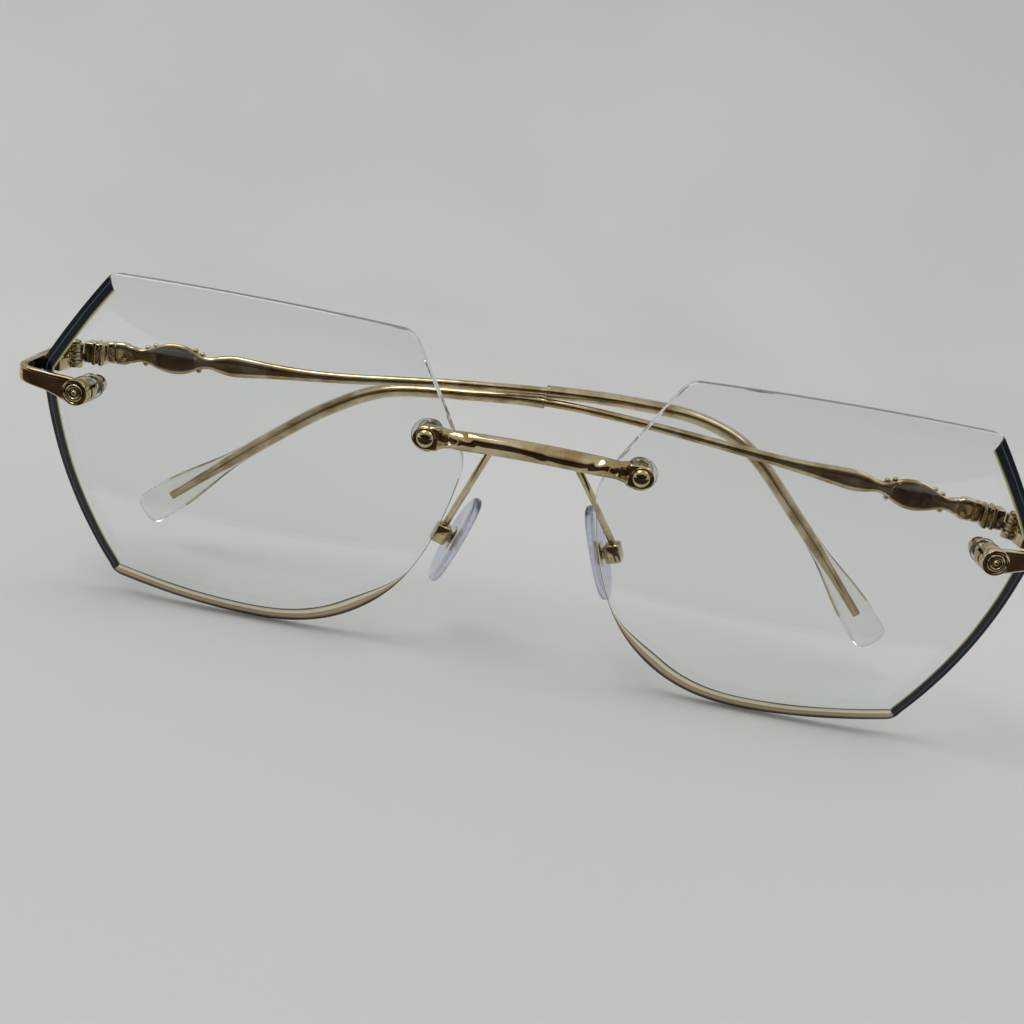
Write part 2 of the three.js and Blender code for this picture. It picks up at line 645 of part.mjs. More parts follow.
const splay = THREE.MathUtils.degToRad(PAD.splay);
const lean = THREE.MathUtils.degToRad(PAD.lean);
const boxX = PAD.depth / 2 + PAD.stand;      // pad screw's place out of the pad centre
const boxHalf = { high: PAD.box / 2, wide: PAD.box / 2 - PAD.boxTrim };
const plateHalf = { high: 1.65, wide: 1.05 };

/** Turns and moves a piece drawn with X out of the nose and Z along the pad. */
function placePad(geometry, side) {
  return geometry.rotateZ(-splay).rotateY(-lean).translate(side.padX, PAD.y, side.padZ);
}

/** The pad: a rounded drop with a flat contact face on its nose side. */
function nosePad() {
  const [w, l] = [PAD.width / 2, PAD.length / 2];
  const shape = new THREE.Shape();
  shape.moveTo(-w * 0.2, l);
  shape.bezierCurveTo(w * 0.75, l, w, l * 0.35, w, -l * 0.25);
  shape.bezierCurveTo(w, -l * 0.75, w * 0.6, -l, 0, -l);
  shape.bezierCurveTo(-w * 0.75, -l, -w, -l * 0.6, -w, -l * 0.15);
  shape.bezierCurveTo(-w, l * 0.45, -w * 0.8, l, -w * 0.2, l);
  const { bevel } = PAD;
  const pad = new THREE.ExtrudeGeometry(shape, {
    depth: PAD.depth - 2 * bevel, curveSegments: 7, bevelSize: bevel, bevelThickness: bevel,
    bevelOffset: -bevel, bevelSegments: 2,
  });
  // drawn in XY and extruded along Z: turn the outline upright, with its depth along X
  pad.rotateX(Math.PI / 2).rotateZ(Math.PI / 2).translate(-PAD.depth / 2 + bevel, 0, 0);
  const [wide, high] = [plateHalf.wide + GAP, plateHalf.high + GAP];
  return carve([pad], [block(PAD.depth / 2 - PAD.recess, PAD.depth, -wide, wide, -high, high)]);
}

/** Metal insert in the pad's back, with the tab that the pad screw holds. */
function padInsert() {
  const seat = PAD.depth / 2 - PAD.recess + GAP;
  const { wide, high } = plateHalf;
  const plate = block(seat, seat + PAD.plate, -wide, wide, -high, high);
  const tabWide = boxHalf.wide - PAD.boxWall - 1.5 * GAP;
  const tabHigh = boxHalf.high - PAD.boxWall - 2.5 * GAP;
  const tab = block(seat + PAD.plate / 2, boxX + 0.7, -tabWide, tabWide, -tabHigh, tabHigh);
  return carve([plate, tab], [rodY(PAD.screw + RUNNING, -3, 3, boxX, 0, 12)]);
}

/** Box at the arm's end, open towards the pad, with the pad screw across it. */
function padBox() {
  const { wide, high } = boxHalf;
  const [wideIn, highIn] = [wide - PAD.boxWall, high - PAD.boxWall];
  const open = boxX - 0.9;
  const shell = block(open, boxX + 0.95 + PAD.boxWall, -wide, wide, -high, high);
  const cavity = block(open - 1, boxX + 0.95, -wideIn, wideIn, -highIn, highIn);
  return carve([shell], [cavity, rodY(PAD.screw + RUNNING, -3, 3, boxX, 0, 12)]);
}

function padScrew() {
  const seat = boxHalf.wide + GAP;
  const head = 2 * PAD.screw;
  return turnedY([[0, -seat], [PAD.screw, -seat], [PAD.screw, seat],
    [head, seat], [head, seat + 0.25], [0, seat + 0.35]], boxX, 0, 12);
}

/** Wire arm from the back of the bridge, down to the pad box. */
function padArm(side) {
  const end = new THREE.Vector3(boxX + 0.3, 0, boxHalf.high + GAP)
    .applyAxisAngle(new THREE.Vector3(0, 0, 1), -splay)
    .applyAxisAngle(new THREE.Vector3(0, 1, 0), -lean)
    .add(new THREE.Vector3(side.padX, PAD.y, side.padZ));
  const rootZ = -BRIDGE.arch * (PAD.armRootX / BRIDGE.eyeX) ** 2;
  const bend = new THREE.Vector3(PAD.armRootX + 0.15, 1.8, rootZ - 0.8);
  const curve = new THREE.CatmullRomCurve3([
    new THREE.Vector3(PAD.armRootX, GAP, rootZ),
    bend,
    bend.clone().lerp(end, 0.35).add(new THREE.Vector3(0, 0.3, 0)),
    bend.clone().lerp(end, 0.75).add(new THREE.Vector3(0, 0.3, 0)),
    end,
  ], false, 'centripetal');
  const stations = Array.from({ length: 14 }, (_, i) => ({
    u: i / 13, high: PAD.armWire, deep: PAD.armWire,
  }));
  return sweep(curve, stations, 8, new THREE.Vector3(1, 0, 0));
}

// ---------------------------------------------------------------- the whole object

const eyeglasses = new THREE.Group();

function add(parent, name, geometry, material) {
  const mesh = new THREE.Mesh(geometry, material);
  mesh.name = name;
  parent.add(mesh);
}

const front = new THREE.Group();
eyeglasses.add(front);
add(front, 'bridge_bar', bridge(), gold);

for (const [name, side] of Object.entries(SIDES)) {
  const own = (geometry) => (side.mirror ? mirrored(geometry) : geometry);
  const temple = new THREE.Group();
  const pad = new THREE.Group();
  eyeglasses.add(temple, pad);

  add(front, `lens_${name}`, own(lens()), lensClear);
  const stacks = [
    ['bridge', BRIDGE.eyeX, -BRIDGE.arch, SCREW.recess - BRIDGE.eyeDepth - GAP / 2, ballHead],
    ['endpiece', ENDPIECE.eyeX, ENDPIECE.eyeZ, SCREW.recess - ENDPIECE.eyeDepth - GAP / 2, ringedHead],
  ];
  for (const [place, x, z, seatY, head] of stacks) {
    add(front, `${place}_screw_${name}`, own(lensScrew(x, z, seatY, head)), screwGold);
    add(front, `${place}_washer_${name}`, own(frontWasher(x, z, WASHER[place])), sleeveClear);
    add(front, `${place}_bushing_${name}`, own(bushing(x, z)), sleeveClear);
    add(front, `${place}_nut_${name}`, own(capNut(x, z)), screwGold);
  }
  add(front, `endpiece_${name}`, own(endpiece()), gold);
  add(front, `hinge_front_leaf_${name}`, own(frontLeaf()), gold);
  add(front, `hinge_screw_${name}`, own(hingeScrew()), screwGold);
  add(front, `pad_arm_${name}`, own(padArm(side)), gold);
  add(front, `pad_box_${name}`, own(placePad(padBox(), side)), gold);
  add(front, `pad_screw_${name}`, own(placePad(padScrew(), side)), screwGold);

  add(temple, `hinge_temple_leaf_${name}`, own(templeLeaf()), gold);
  add(temple, `temple_arm_${name}`, own(templeArm(side)), gold);
  add(temple, `temple_tip_${name}`, own(templeTip(side)), sleeveClear);

  add(pad, `nose_pad_${name}`, own(placePad(nosePad(), side)), padClear);
  add(pad, `pad_insert_${name}`, own(placePad(padInsert(), side)), gold);
}

export default eyeglasses;
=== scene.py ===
"""Rimless eyeglasses with folded temples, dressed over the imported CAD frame.

Two clear six-sided lenses hang from a sculpted bridge and two endpieces. Behind them lie the
folded temples with their ornaments and clear sleeves, and the clear nose pads on wire arms.
Sizes are in millimetres and are turned to metres when a mesh is made. +Z is up as worn, the
front faces -Y, +X is the wearer's left, and the origin is the middle of the bridge's flat back.
"""

from __future__ import annotations

import logging
import math
from dataclasses import dataclass, field
from enum import Enum
from typing import Callable, Iterable, Sequence

import bmesh
import bpy
from mathutils import Matrix, Vector

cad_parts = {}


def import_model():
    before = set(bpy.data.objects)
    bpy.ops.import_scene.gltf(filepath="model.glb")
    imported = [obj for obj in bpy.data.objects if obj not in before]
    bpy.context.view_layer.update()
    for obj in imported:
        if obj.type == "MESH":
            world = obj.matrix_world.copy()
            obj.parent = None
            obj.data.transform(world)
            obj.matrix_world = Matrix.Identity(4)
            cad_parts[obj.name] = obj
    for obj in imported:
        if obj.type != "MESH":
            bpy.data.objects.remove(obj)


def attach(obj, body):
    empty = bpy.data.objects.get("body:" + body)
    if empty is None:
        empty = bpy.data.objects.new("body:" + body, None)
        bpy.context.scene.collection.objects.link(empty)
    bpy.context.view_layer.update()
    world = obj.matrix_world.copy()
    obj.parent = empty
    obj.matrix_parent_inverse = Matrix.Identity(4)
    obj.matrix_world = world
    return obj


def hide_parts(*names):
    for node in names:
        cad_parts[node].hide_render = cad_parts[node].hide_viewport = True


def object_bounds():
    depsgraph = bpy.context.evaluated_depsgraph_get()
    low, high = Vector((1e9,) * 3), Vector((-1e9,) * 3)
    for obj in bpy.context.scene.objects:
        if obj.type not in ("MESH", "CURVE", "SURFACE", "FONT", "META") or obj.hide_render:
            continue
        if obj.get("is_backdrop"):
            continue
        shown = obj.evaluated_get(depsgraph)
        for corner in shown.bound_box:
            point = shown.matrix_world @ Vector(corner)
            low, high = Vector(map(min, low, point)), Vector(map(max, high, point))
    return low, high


LOG = logging.getLogger("eyeglasses")
MM = 0.001

Ring = list[Vector]
Surface = Callable[[float, float], float]


class Side(Enum):
    """The wearer's left or right."""

    LEFT = "left"
    RIGHT = "right"

    @property
    def sign(self) -> float:
        """The side of X that it lies on."""
        return 1.0 if self is Side.LEFT else -1.0

    def node(self, name: str) -> str:
        """The name of this side's CAD node of a kind."""
        return f"{name}_{self.value}"


class Body(Enum):
    """A rigid group of the CAD model."""

    FRONT = "front"
    TEMPLE = "temple"
    NOSE_PAD = "nose_pad_body"

    def on(self, side: Side) -> str:
        """The name of this body on a side."""
        return self.value if self is Body.FRONT else f"{self.value}_{side.value}"


class Slot(Enum):
    """A material slot of the record."""

    GOLD = "metal_gold"
    SCREW = "metal_screw"
    LENS = "lens_clear"
    PLASTIC = "clear_plastic"
    PAD = "pad_clear"


# ------------------------------------------------------------------------------------ helpers


def linear(colour: str) -> tuple[float, float, float, float]:
    """Turns an sRGB hex value to a linear colour.

    Args:
        colour: six hex digits after a '#'.

    Returns:
        Red, green, blue and an alpha of 1.
    """
    parts = [int(colour[i : i + 2], 16) / 255 for i in (1, 3, 5)]
    low = [p / 12.92 if p <= 0.04045 else ((p + 0.055) / 1.055) ** 2.4 for p in parts]
    return (low[0], low[1], low[2], 1.0)


def smoothstep(x: float, low: float, high: float) -> float:
    """Rises smoothly from 0 at low to 1 at high."""
    t = min(1.0, max(0.0, (x - low) / (high - low)))
    return t * t * (3 - 2 * t)


def mix(a: float, b: float, t: float) -> float:
    """The value a share t of the way from a to b."""
    return a + (b - a) * t


def add_node(
    tree: bpy.types.NodeTree,
    kind: str,
    inputs: dict[str | int, object] | None = None,
    **settings: object,
) -> bpy.types.Node:
    """Adds a node with its settings, values and links.

    Args:
        tree: the tree that gets the node.
        kind: the node's type name.
        inputs: a value or another node's output socket for each input, by name or number.
        settings: properties of the node itself.

    Returns:
        The new node.
    """
    node = tree.nodes.new(kind)
    for name, value in settings.items():
        setattr(node, name, value)
    for key, value in (inputs or {}).items():
        if isinstance(value, bpy.types.NodeSocket):
            tree.links.new(value, node.inputs[key])
        else:
            node.inputs[key].default_value = value
    return node


def set_ramp(node: bpy.types.Node, stops: Sequence[tuple[float, str]]) -> None:
    """Gives a colour ramp its stops.

    Args:
        node: a Color Ramp node.
        stops: place from 0 to 1 and sRGB hex colour of each stop, in order.
    """
    ramp = node.color_ramp
    ramp.interpolation = "LINEAR"
    while len(ramp.elements) < len(stops):
        ramp.elements.new(1.0)
    for element, (place, colour) in zip(ramp.elements, stops):
        element.position = place
        element.color = linear(colour)


def set_surface(tree: bpy.types.NodeTree, surface: bpy.types.NodeSocket) -> None:
    """Shows a shader on a material in place of the one it has.

    Args:
        tree: the material's node tree.
        surface: the output of the shader to show.
    """
    output = next(n for n in tree.nodes if n.type == "OUTPUT_MATERIAL")
    tree.links.new(surface, output.inputs["Surface"])


@dataclass
class Shell:
    """A surface under construction: points in millimetres, faces, and each face's finish."""

    points: list[Vector] = field(default_factory=list)
    faces: list[tuple[int, ...]] = field(default_factory=list)
    slots: list[int] = field(default_factory=list)

    def loft(self, rings: Sequence[Ring]) -> "Shell":
        """Adds a closed skin over a row of rings of the same count, in the first finish.

        Args:
            rings: the rings in order, each a closed loop of points.

        Returns:
            This shell.
        """
        base, count = len(self.points), len(rings[0])
        for ring in rings:
            self.points.extend(ring)
        for r in range(len(rings) - 1):
            for i in range(count):
                j = (i + 1) % count
                a, b = base + r * count, base + (r + 1) * count
                self.faces.append((a + i, a + j, b + j, b + i))
                self.slots.append(0)
        for r in (0, len(rings) - 1):
            centre = sum(rings[r], Vector()) / count
            self.points.append(centre)
            first, hub = base + r * count, len(self.points) - 1
            for i in range(count):
                self.faces.append((hub, first + i, first + (i + 1) % count))
                self.slots.append(0)
        return self

    def lathe(
        self, profile: Sequence[tuple[float, float]], at: Vector, axis: str = "Y", segments: int = 48
    ) -> "Shell":
        """Adds a round body turned about a line, as one closed skin.

        Args:
            profile: pairs of radius and place along the axis, from end to end; a profile whose
                ends meet makes a ring.
            at: a point on the axis.
            axis: "Y" or "Z".
            segments: faces round the body.

        Returns:
            This shell.
        """
        rings = []
        for radius, along in profile:
            ring = []
            for i in range(segments):
                angle = 2 * math.pi * i / segments
                c, s = radius * math.cos(angle), radius * math.sin(angle)
                ring.append(at + (Vector((c, along, s)) if axis == "Y" else Vector((c, s, along))))
            rings.append(ring)
        if profile[0] == profile[-1]:
            base = len(self.points)
            for ring in rings[:-1]:
                self.points.extend(ring)
            total = len(rings) - 1
            for r in range(total):
                for i in range(segments):
                    j = (i + 1) % segments
                    a, b = base + r * segments, base + ((r + 1) % total) * segments
                    self.faces.append((a + i, a + j, b + j, b + i))
                    self.slots.append(0)
            return self
        return self.loft(rings)

    def box(self, low: Sequence[float], high: Sequence[float]) -> "Shell":
        """Adds a box between two corners.

        Args:
            low: the lowest corner.
            high: the highest corner.

        Returns:
            This shell.
        """
        base = len(self.points)
        for i in range(8):
            self.points.append(Vector([(low, high)[(i >> k) & 1][k] for k in range(3)]))
        for face in ((0, 1, 3, 2), (4, 6, 7, 5), (0, 4, 5, 1), (2, 3, 7, 6), (0, 2, 6, 4), (1, 5, 7, 3)):
            self.faces.append(tuple(base + k for k in face))
            self.slots.append(0)
        return self

    def place(self, change: Callable[[Vector], Vector]) -> "Shell":
        """Moves every point by a rule and returns this shell."""
        self.points = [change(point) for point in self.points]
        return self

    def build(
        self, name: str, side: Side | None = None, sharp: float = 35.0, bevel: float = 0.0
    ) -> bpy.types.Object:
        """Makes the Blender object, in metres and with its faces out.

        Args:
            name: the object's name.
            side: the side it belongs to; a shell is drawn for the left one.
            sharp: edges over this many degrees stay sharp.
            bevel: width of a bevel on the sharp edges, in millimetres.

        Returns:
            The object, at the origin, with its place in its mesh.
        """
        turn = side.sign if side else 1.0
        mesh = bpy.data.meshes.new(name)
        mesh.from_pydata([(p.x * turn * MM, p.y * MM, p.z * MM) for p in self.points], [], self.faces)
        mesh.polygons.foreach_set("material_index", self.slots)
        work = bmesh.new()
        work.from_mesh(mesh)
        bmesh.ops.remove_doubles(work, verts=work.verts, dist=0.0004 * MM)
        bmesh.ops.recalc_face_normals(work, faces=work.faces)
        if bevel:
            edges = [e for e in work.edges if e.is_manifold and e.calc_face_angle() > math.radians(sharp)]
            bmesh.ops.bevel(
                work, geom=edges, offset=bevel * MM, segments=3, profile=0.5, affect="EDGES", clamp_overlap=True
            )
        work.to_mesh(mesh)
        work.free()
        mesh.shade_smooth()
        mesh.set_sharp_from_angle(angle=math.radians(sharp))
        obj = bpy.data.objects.new(name, mesh)
        bpy.context.scene.collection.objects.link(obj)
        return obj


def bake(obj: bpy.types.Object, name: str | None = None) -> bpy.types.Object:
    """Turns an object with its modifiers into a plain mesh object.

    Args:
        obj: the object, which is removed.
        name: the new object's name, or None to keep the old one.

    Returns:
        The plain object.
    """
    name = name or obj.name
    graph = bpy.context.evaluated_depsgraph_get()
    mesh = bpy.data.meshes.new_from_object(obj.evaluated_get(graph), depsgraph=graph)
    bpy.data.objects.remove(obj)
    mesh.name = name
    made = bpy.data.objects.new(name, mesh)
    bpy.context.scene.collection.objects.link(made)
    return made


def cut(obj: bpy.types.Object, cutters: Iterable[bpy.types.Object], sharp: float = 35.0) -> bpy.types.Object:
    """Cuts shapes out of a closed object.

    Args:
        obj: the object, which is replaced.
        cutters: closed objects, which are removed.
        sharp: edges over this many degrees stay sharp.

    Returns:
        The cut object.
    """
    tools = list(cutters)
    for tool in tools:
        modifier = obj.modifiers.new("cut", "BOOLEAN")
        modifier.operation, modifier.solver, modifier.object = "DIFFERENCE", "EXACT", tool
    made = bake(obj)
    for tool in tools:
        bpy.data.objects.remove(tool)
    made.data.shade_smooth()
    made.data.set_sharp_from_angle(angle=math.radians(sharp))
    return made


def dress(obj: bpy.types.Object, finishes: Sequence[bpy.types.Material]) -> bpy.types.Object:
    """Gives an undressed mesh its materials, in the order of its face slots.

    Args:
        obj: the object.
        finishes: the materials.

    Returns:
        The object.
    """
    slots = [face.material_index for face in obj.data.polygons]
    for finish in finishes:
        obj.data.materials.append(finish)
    obj.data.polygons.foreach_set("material_index", slots)
    return obj


def hand_over(
    obj: bpy.types.Object,
    body: str,
    nodes: Sequence[str],
    finishes: Sequence[bpy.types.Material],
) -> bpy.types.Object:
    """Dresses a piece, puts it on its body and lets it stand for its CAD nodes.

    Args:
        obj: the finished piece.
        body: the CAD body that it moves with.
        nodes: the CAD nodes that it stands for.
        finishes: the materials of its face slots, in order.

    Returns:
        The piece.
    """
    if not obj.data.materials:
        dress(obj, finishes)
    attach(obj, body)
    if nodes:
        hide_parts(*nodes)
    LOG.info("%s: %d faces on %s", obj.name, len(obj.data.polygons), body)
    return obj


class Bend:
    """A smooth curve through points, with its length as its parameter."""

    def __init__(self, knots: Sequence[Vector], samples: int = 60) -> None:
        """Fits the curve.

        Args:
            knots: the points that it passes through, in millimetres.
            samples: points kept between two knots.
        """
        ends = [knots[0] * 2 - knots[1], *knots, knots[-1] * 2 - knots[-2]]
        self.line: list[Vector] = [knots[0].copy()]
        for i in range(len(knots) - 1):
            p0, p1, p2, p3 = ends[i : i + 4]
            d0, d1, d2 = (math.sqrt((b - a).length) for a, b in ((p0, p1), (p1, p2), (p2, p3)))
            t1 = ((p1 - p0) / d0 - (p2 - p0) / (d0 + d1) + (p2 - p1) / d1) * d1
            t2 = ((p2 - p1) / d1 - (p3 - p1) / (d1 + d2) + (p3 - p2) / d2) * d1
            for k in range(1, samples + 1):
                t = k / samples
                cubic = 2 * p1 - 2 * p2 + t1 + t2
                square = 3 * p2 - 3 * p1 - 2 * t1 - t2
                self.line.append(p1 + t1 * t + square * t**2 + cubic * t**3)
        self.reach = [0.0]
        for a, b in zip(self.line, self.line[1:]):
            self.reach.append(self.reach[-1] + (b - a).length)

    @property
    def length(self) -> float:
        """The whole length."""
        return self.reach[-1]

    def at(self, distance: float) -> Vector:
        """The point at a distance from the start."""
        low, high = 0, len(self.reach) - 1
        while high - low > 1:
            middle = (low + high) // 2
            low, high = (middle, high) if self.reach[middle] <= distance else (low, middle)
        share = (distance - self.reach[low]) / (self.reach[high] - self.reach[low])
        return self.line[low].lerp(self.line[high], share)

    def heading(self, distance: float) -> Vector:
        """The direction of the curve at a distance from the start."""
        step = 0.05
        a, b = max(0.0, distance - step), min(self.length, distance + step)
        return (self.at(b) - self.at(a)).normalized()

    def axes(self, distance: float, up: Vector) -> tuple[Vector, Vector]:
        """The directions across and up at a distance from the start.

        Args:
            distance: length from the start.
            up: the direction that stays as near up as it can.

        Returns:
            The unit vectors across and up.
        """
        along = self.heading(distance)
        across = along.cross(up).normalized()
        return across, across.cross(along)


@dataclass(frozen=True)
class Section:
    """A rounded section of a swept body: half height, half depth and squareness."""

    high: float
    deep: float
    square: float = 2.0

    def points(self, count: int) -> list[tuple[float, float]]:
        """The outline.

        Args:
            count: the number of points.

        Returns:
            Pairs of place across and place up.
        """
        made = []
        for i in range(count):
            angle = 2 * math.pi * (i + 0.5) / count
            c, s = math.cos(angle), math.sin(angle)
            reach = (abs(c) ** self.square + abs(s) ** self.square) ** (-1 / self.square)
            made.append((c * reach * self.deep, s * reach * self.high))
        return made


def sweep(
    bend: Bend,
    stations: Sequence[tuple[float, Section]],
    count: int = 36,
    up: Vector = Vector((0, 0, 1)),
) -> list[Ring]:
    """Sections set along a curve.

    Args:
        bend: the curve.
        stations: distance from the start and section of each ring.
        count: points in a ring.
        up: the direction that the sections keep up.

    Returns:
        The rings.
    """
    rings = []
    for distance, section in stations:
        centre = bend.at(distance)
        across, rise = bend.axes(distance, up)
        rings.append([centre + across * x + rise * z for x, z in section.points(count)])
    return rings


# ------------------------------------------------------------------------------------ finishes


def new_material(name: str) -> tuple[bpy.types.Material, bpy.types.NodeTree, bpy.types.Node]:
    """Starts a material with one Principled shader.

    Args:
        name: the material's name.

    Returns:
        The material, its tree and the shader.
    """
    material = bpy.data.materials.new(name)
    material.use_nodes = True
    tree = material.node_tree
    tree.nodes.clear()
    shader = add_node(tree, "ShaderNodeBsdfPrincipled")
    add_node(tree, "ShaderNodeOutputMaterial", {"Surface": shader.outputs["BSDF"]})
    return material, tree, shader


def grain(tree: bpy.types.NodeTree, size: float, detail: float = 3.0) -> bpy.types.NodeSocket:
    """Adds a noise that is fixed to the piece.

    Args:
        tree: the material's tree.
        size: width of its patches in millimetres.
        detail: octaves of finer noise.

    Returns:
        The value's socket.
    """
    place = add_node(tree, "ShaderNodeTexCoord")
    noise = add_node(
        tree,
        "ShaderNodeTexNoise",
        {"Vector": place.outputs["Object"], "Scale": 1 / (size * MM), "Detail": detail, "Roughness": 0.55},
    )
    return noise.outputs["Fac"]


def spread(
    tree: bpy.types.NodeTree, value: bpy.types.NodeSocket, low: float, high: float
) -> bpy.types.NodeSocket:
    """Maps the middle of a noise to a range.

    Args:
        tree: the material's tree.
        value: the noise.
        low: the result at its low end.
        high: the result at its high end.

    Returns:
        The mapped value's socket.
    """
    node = add_node(
        tree, "ShaderNodeMapRange", {"Value": value, "From Min": 0.3, "From Max": 0.7, "To Min": low, "To Max": high}
    )
    return node.outputs["Result"]


@dataclass(frozen=True)
class PlatedMetal:
    """Pale gold plating on polished nickel silver: a mirror with a warm tone, a little uneven.

    The eye gets strong light and dark bands, and slightly deeper gold where the plate is thick.
    """

    name: str
    pale: str
    deep: str
    smooth: float
    worn: float
    patch: float = 3.5
    hairline: float = 0.25

    def build(self) -> bpy.types.Material:
        """Makes the material."""
        material, tree, shader = new_material(self.name)
        tone = add_node(tree, "ShaderNodeValToRGB", {"Fac": grain(tree, self.patch)})
        set_ramp(tone, [(0.35, self.pale), (0.65, self.deep)])
        tree.links.new(tone.outputs["Color"], shader.inputs["Base Color"])
        shader.inputs["Metallic"].default_value = 1.0
        rough = spread(tree, grain(tree, self.hairline, 5.0), self.smooth, self.worn)
        tree.links.new(rough, shader.inputs["Roughness"])
        bump = add_node(
            tree,
            "ShaderNodeBump",
            {"Height": grain(tree, 1.6, 2.0), "Strength": 0.12, "Distance": 0.02 * MM},
        )
        tree.links.new(bump.outputs["Normal"], shader.inputs["Normal"])
        return material


@dataclass(frozen=True)
class ClearPlastic:
    """Clear moulded or cast plastic that lamps shine through: acetate, nylon, silicone or resin.

    The eye gets what is behind it, bent by its IOR, with a faint tint and a soft or hard gloss.
    """

    name: str
    tint: str
    ior: float
    smooth: float
    hazy: float
    patch: float = 2.0
    ripple: float = 0.0

    def build(self) -> bpy.types.Material:
        """Makes the material."""
        material, tree, shader = new_material(self.name)
        shader.inputs["Base Color"].default_value = linear(self.tint)
        shader.inputs["Transmission Weight"].default_value = 1.0
        shader.inputs["IOR"].default_value = self.ior
        rough = spread(tree, grain(tree, self.patch), self.smooth, self.hazy)
        tree.links.new(rough, shader.inputs["Roughness"])
        if self.ripple:
            bump = add_node(
                tree,
                "ShaderNodeBump",
                {"Height": grain(tree, self.patch), "Strength": 0.3, "Distance": self.ripple * MM},
            )
            tree.links.new(bump.outputs["Normal"], shader.inputs["Normal"])
        ray = add_node(tree, "ShaderNodeLightPath")
        through = add_node(tree, "ShaderNodeBsdfTransparent", {"Color": linear("#e4e6e6")})
        both = add_node(
            tree,
            "ShaderNodeMixShader",
            {0: ray.outputs["Is Shadow Ray"], 1: shader.outputs["BSDF"], 2: through.outputs["BSDF"]},
        )
        set_surface(tree, both.outputs["Shader"])
        return material


@dataclass(frozen=True)
class EdgeFinish:
    """Buffed bevel of a lens whose colour is painted reflection, in lines that run along the edge.

    The stops go across the bevel from its inner line, 0, to the lens rim, 1. Their dark and light lines
    are painted reflection and painted highlight lines that follow the outline, under a hard gloss.
    """

    name: str
    stops: tuple[tuple[float, str], ...]
    metallic: float
    rough: float
    coat: float
    specular: float = 0.5

    def build(self) -> bpy.types.Material:
        """Makes the material."""
        material, tree, shader = new_material(self.name)
        uv = add_node(tree, "ShaderNodeUVMap", uv_map=LensShape.EDGE_UV)
        parts = add_node(tree, "ShaderNodeSeparateXYZ", {"Vector": uv.outputs["UV"]})
        wander = spread(tree, grain(tree, 9.0, 1.0), -0.03, 0.03)
        across = add_node(tree, "ShaderNodeMath", {0: parts.outputs["Y"], 1: wander}, operation="ADD")
        # The ramp lays the bevel's reflections and highlight lines in as colour: painted reflection.
        ramp = add_node(tree, "ShaderNodeValToRGB", {"Fac": across.outputs["Value"]})
        set_ramp(ramp, self.stops)
        tree.links.new(ramp.outputs["Color"], shader.inputs["Base Color"])
        shader.inputs["Metallic"].default_value = self.metallic
        shader.inputs["Coat Weight"].default_value = self.coat
        shader.inputs["Specular IOR Level"].default_value = self.specular
        shader.inputs["Coat Roughness"].default_value = 0.03
        rough = spread(tree, grain(tree, 5.0, 1.0), self.rough * 0.8, self.rough * 1.3)
        tree.links.new(rough, shader.inputs["Roughness"])
        return material


@dataclass(frozen=True)
class Paper:
    """Pale matt sheet that the glasses stand on, with a faint mottle."""

    name: str = "matt paper"
    pale: str = "#e1e2e2"
    deep: str = "#dbdcdc"

    def build(self) -> bpy.types.Material:
        """Makes the material."""
        material, tree, shader = new_material(self.name)
        tone = add_node(tree, "ShaderNodeValToRGB", {"Fac": grain(tree, 140.0, 1.0)})
        set_ramp(tone, [(0.3, self.pale), (0.7, self.deep)])
        tree.links.new(tone.outputs["Color"], shader.inputs["Base Color"])
        shader.inputs["Roughness"].default_value = 0.92
        shader.inputs["Specular IOR Level"].default_value = 0.2
        return material


@dataclass
class Palette:
    """Every finish of the eyeglasses, made once."""

    gold: bpy.types.Material
    antique: bpy.types.Material
    screw: bpy.types.Material
    resin: bpy.types.Material
    navy: bpy.types.Material
    gilt: bpy.types.Material
    rim: bpy.types.Material
    acetate: bpy.types.Material
    nylon: bpy.types.Material
    silicone: bpy.types.Material

    @classmethod
    def mix(cls) -> "Palette":
        """Makes the finishes."""
        return cls(
            gold=PlatedMetal("champagne gold plate", "#dccdaa", "#ab9468", 0.05, 0.12).build(),
            # Darker gold for the plaque's sunken faces: painted shade in the recess.
            antique=PlatedMetal("antiqued gold plate", "#a18d72", "#6f5d49", 0.1, 0.2, 1.0).build(),
            screw=PlatedMetal("pale gold screw metal", "#dccfa9", "#b7a376", 0.06, 0.14, 1.2).build(),
            resin=ClearPlastic("lens resin", "#fbfdfd", 1.5, 0.0, 0.006, 14.0).build(),
            # Outer bevels: a dark band with pale lines in the ramp, all painted reflection and painted highlight
            # lines.
            navy=EdgeFinish(
                "navy edge lacquer",
                (
                    (0.0, "#cfc99c"), (0.1, "#9c9672"), (0.19, "#24251f"), (0.24, "#0b0f13"), (0.6, "#0f141b"),
                    (0.66, "#4d6074"), (0.7, "#0a0e14"), (0.95, "#080b10"), (1.0, "#2c3238"),
                ),
                0.0, 0.1, 0.0, 0.12,
            ).build(),
            # Lower bevels: a gold band with a pale highlight and dark lines in the ramp, all painted reflection and
            # painted highlight.
            gilt=EdgeFinish(
                "gilt lens edge",
                (
                    (0.0, "#4b4a38"), (0.07, "#6f6848"), (0.16, "#ece6c4"), (0.34, "#fbf4dc"), (0.47, "#b39c78"),
                    (0.66, "#c9b08e"), (0.82, "#66543f"), (0.92, "#2f251e"), (1.0, "#4a4038"),
                ),
                0.2, 0.2, 0.1,
            ).build(),
            rim=ClearPlastic("buffed lens rim", "#f4f8f8", 1.5, 0.02, 0.08, 0.8).build(),
            acetate=ClearPlastic("clear acetate", "#f5f4f0", 1.49, 0.01, 0.05, 3.0, 0.02).build(),
            nylon=ClearPlastic("clear nylon", "#eef0ea", 1.53, 0.08, 0.18, 1.0).build(),
            silicone=ClearPlastic("pad silicone", "#dfe3f0", 1.41, 0.12, 0.28, 0.9, 0.03).build(),
        )


# ------------------------------------------------------------------------------------ lens


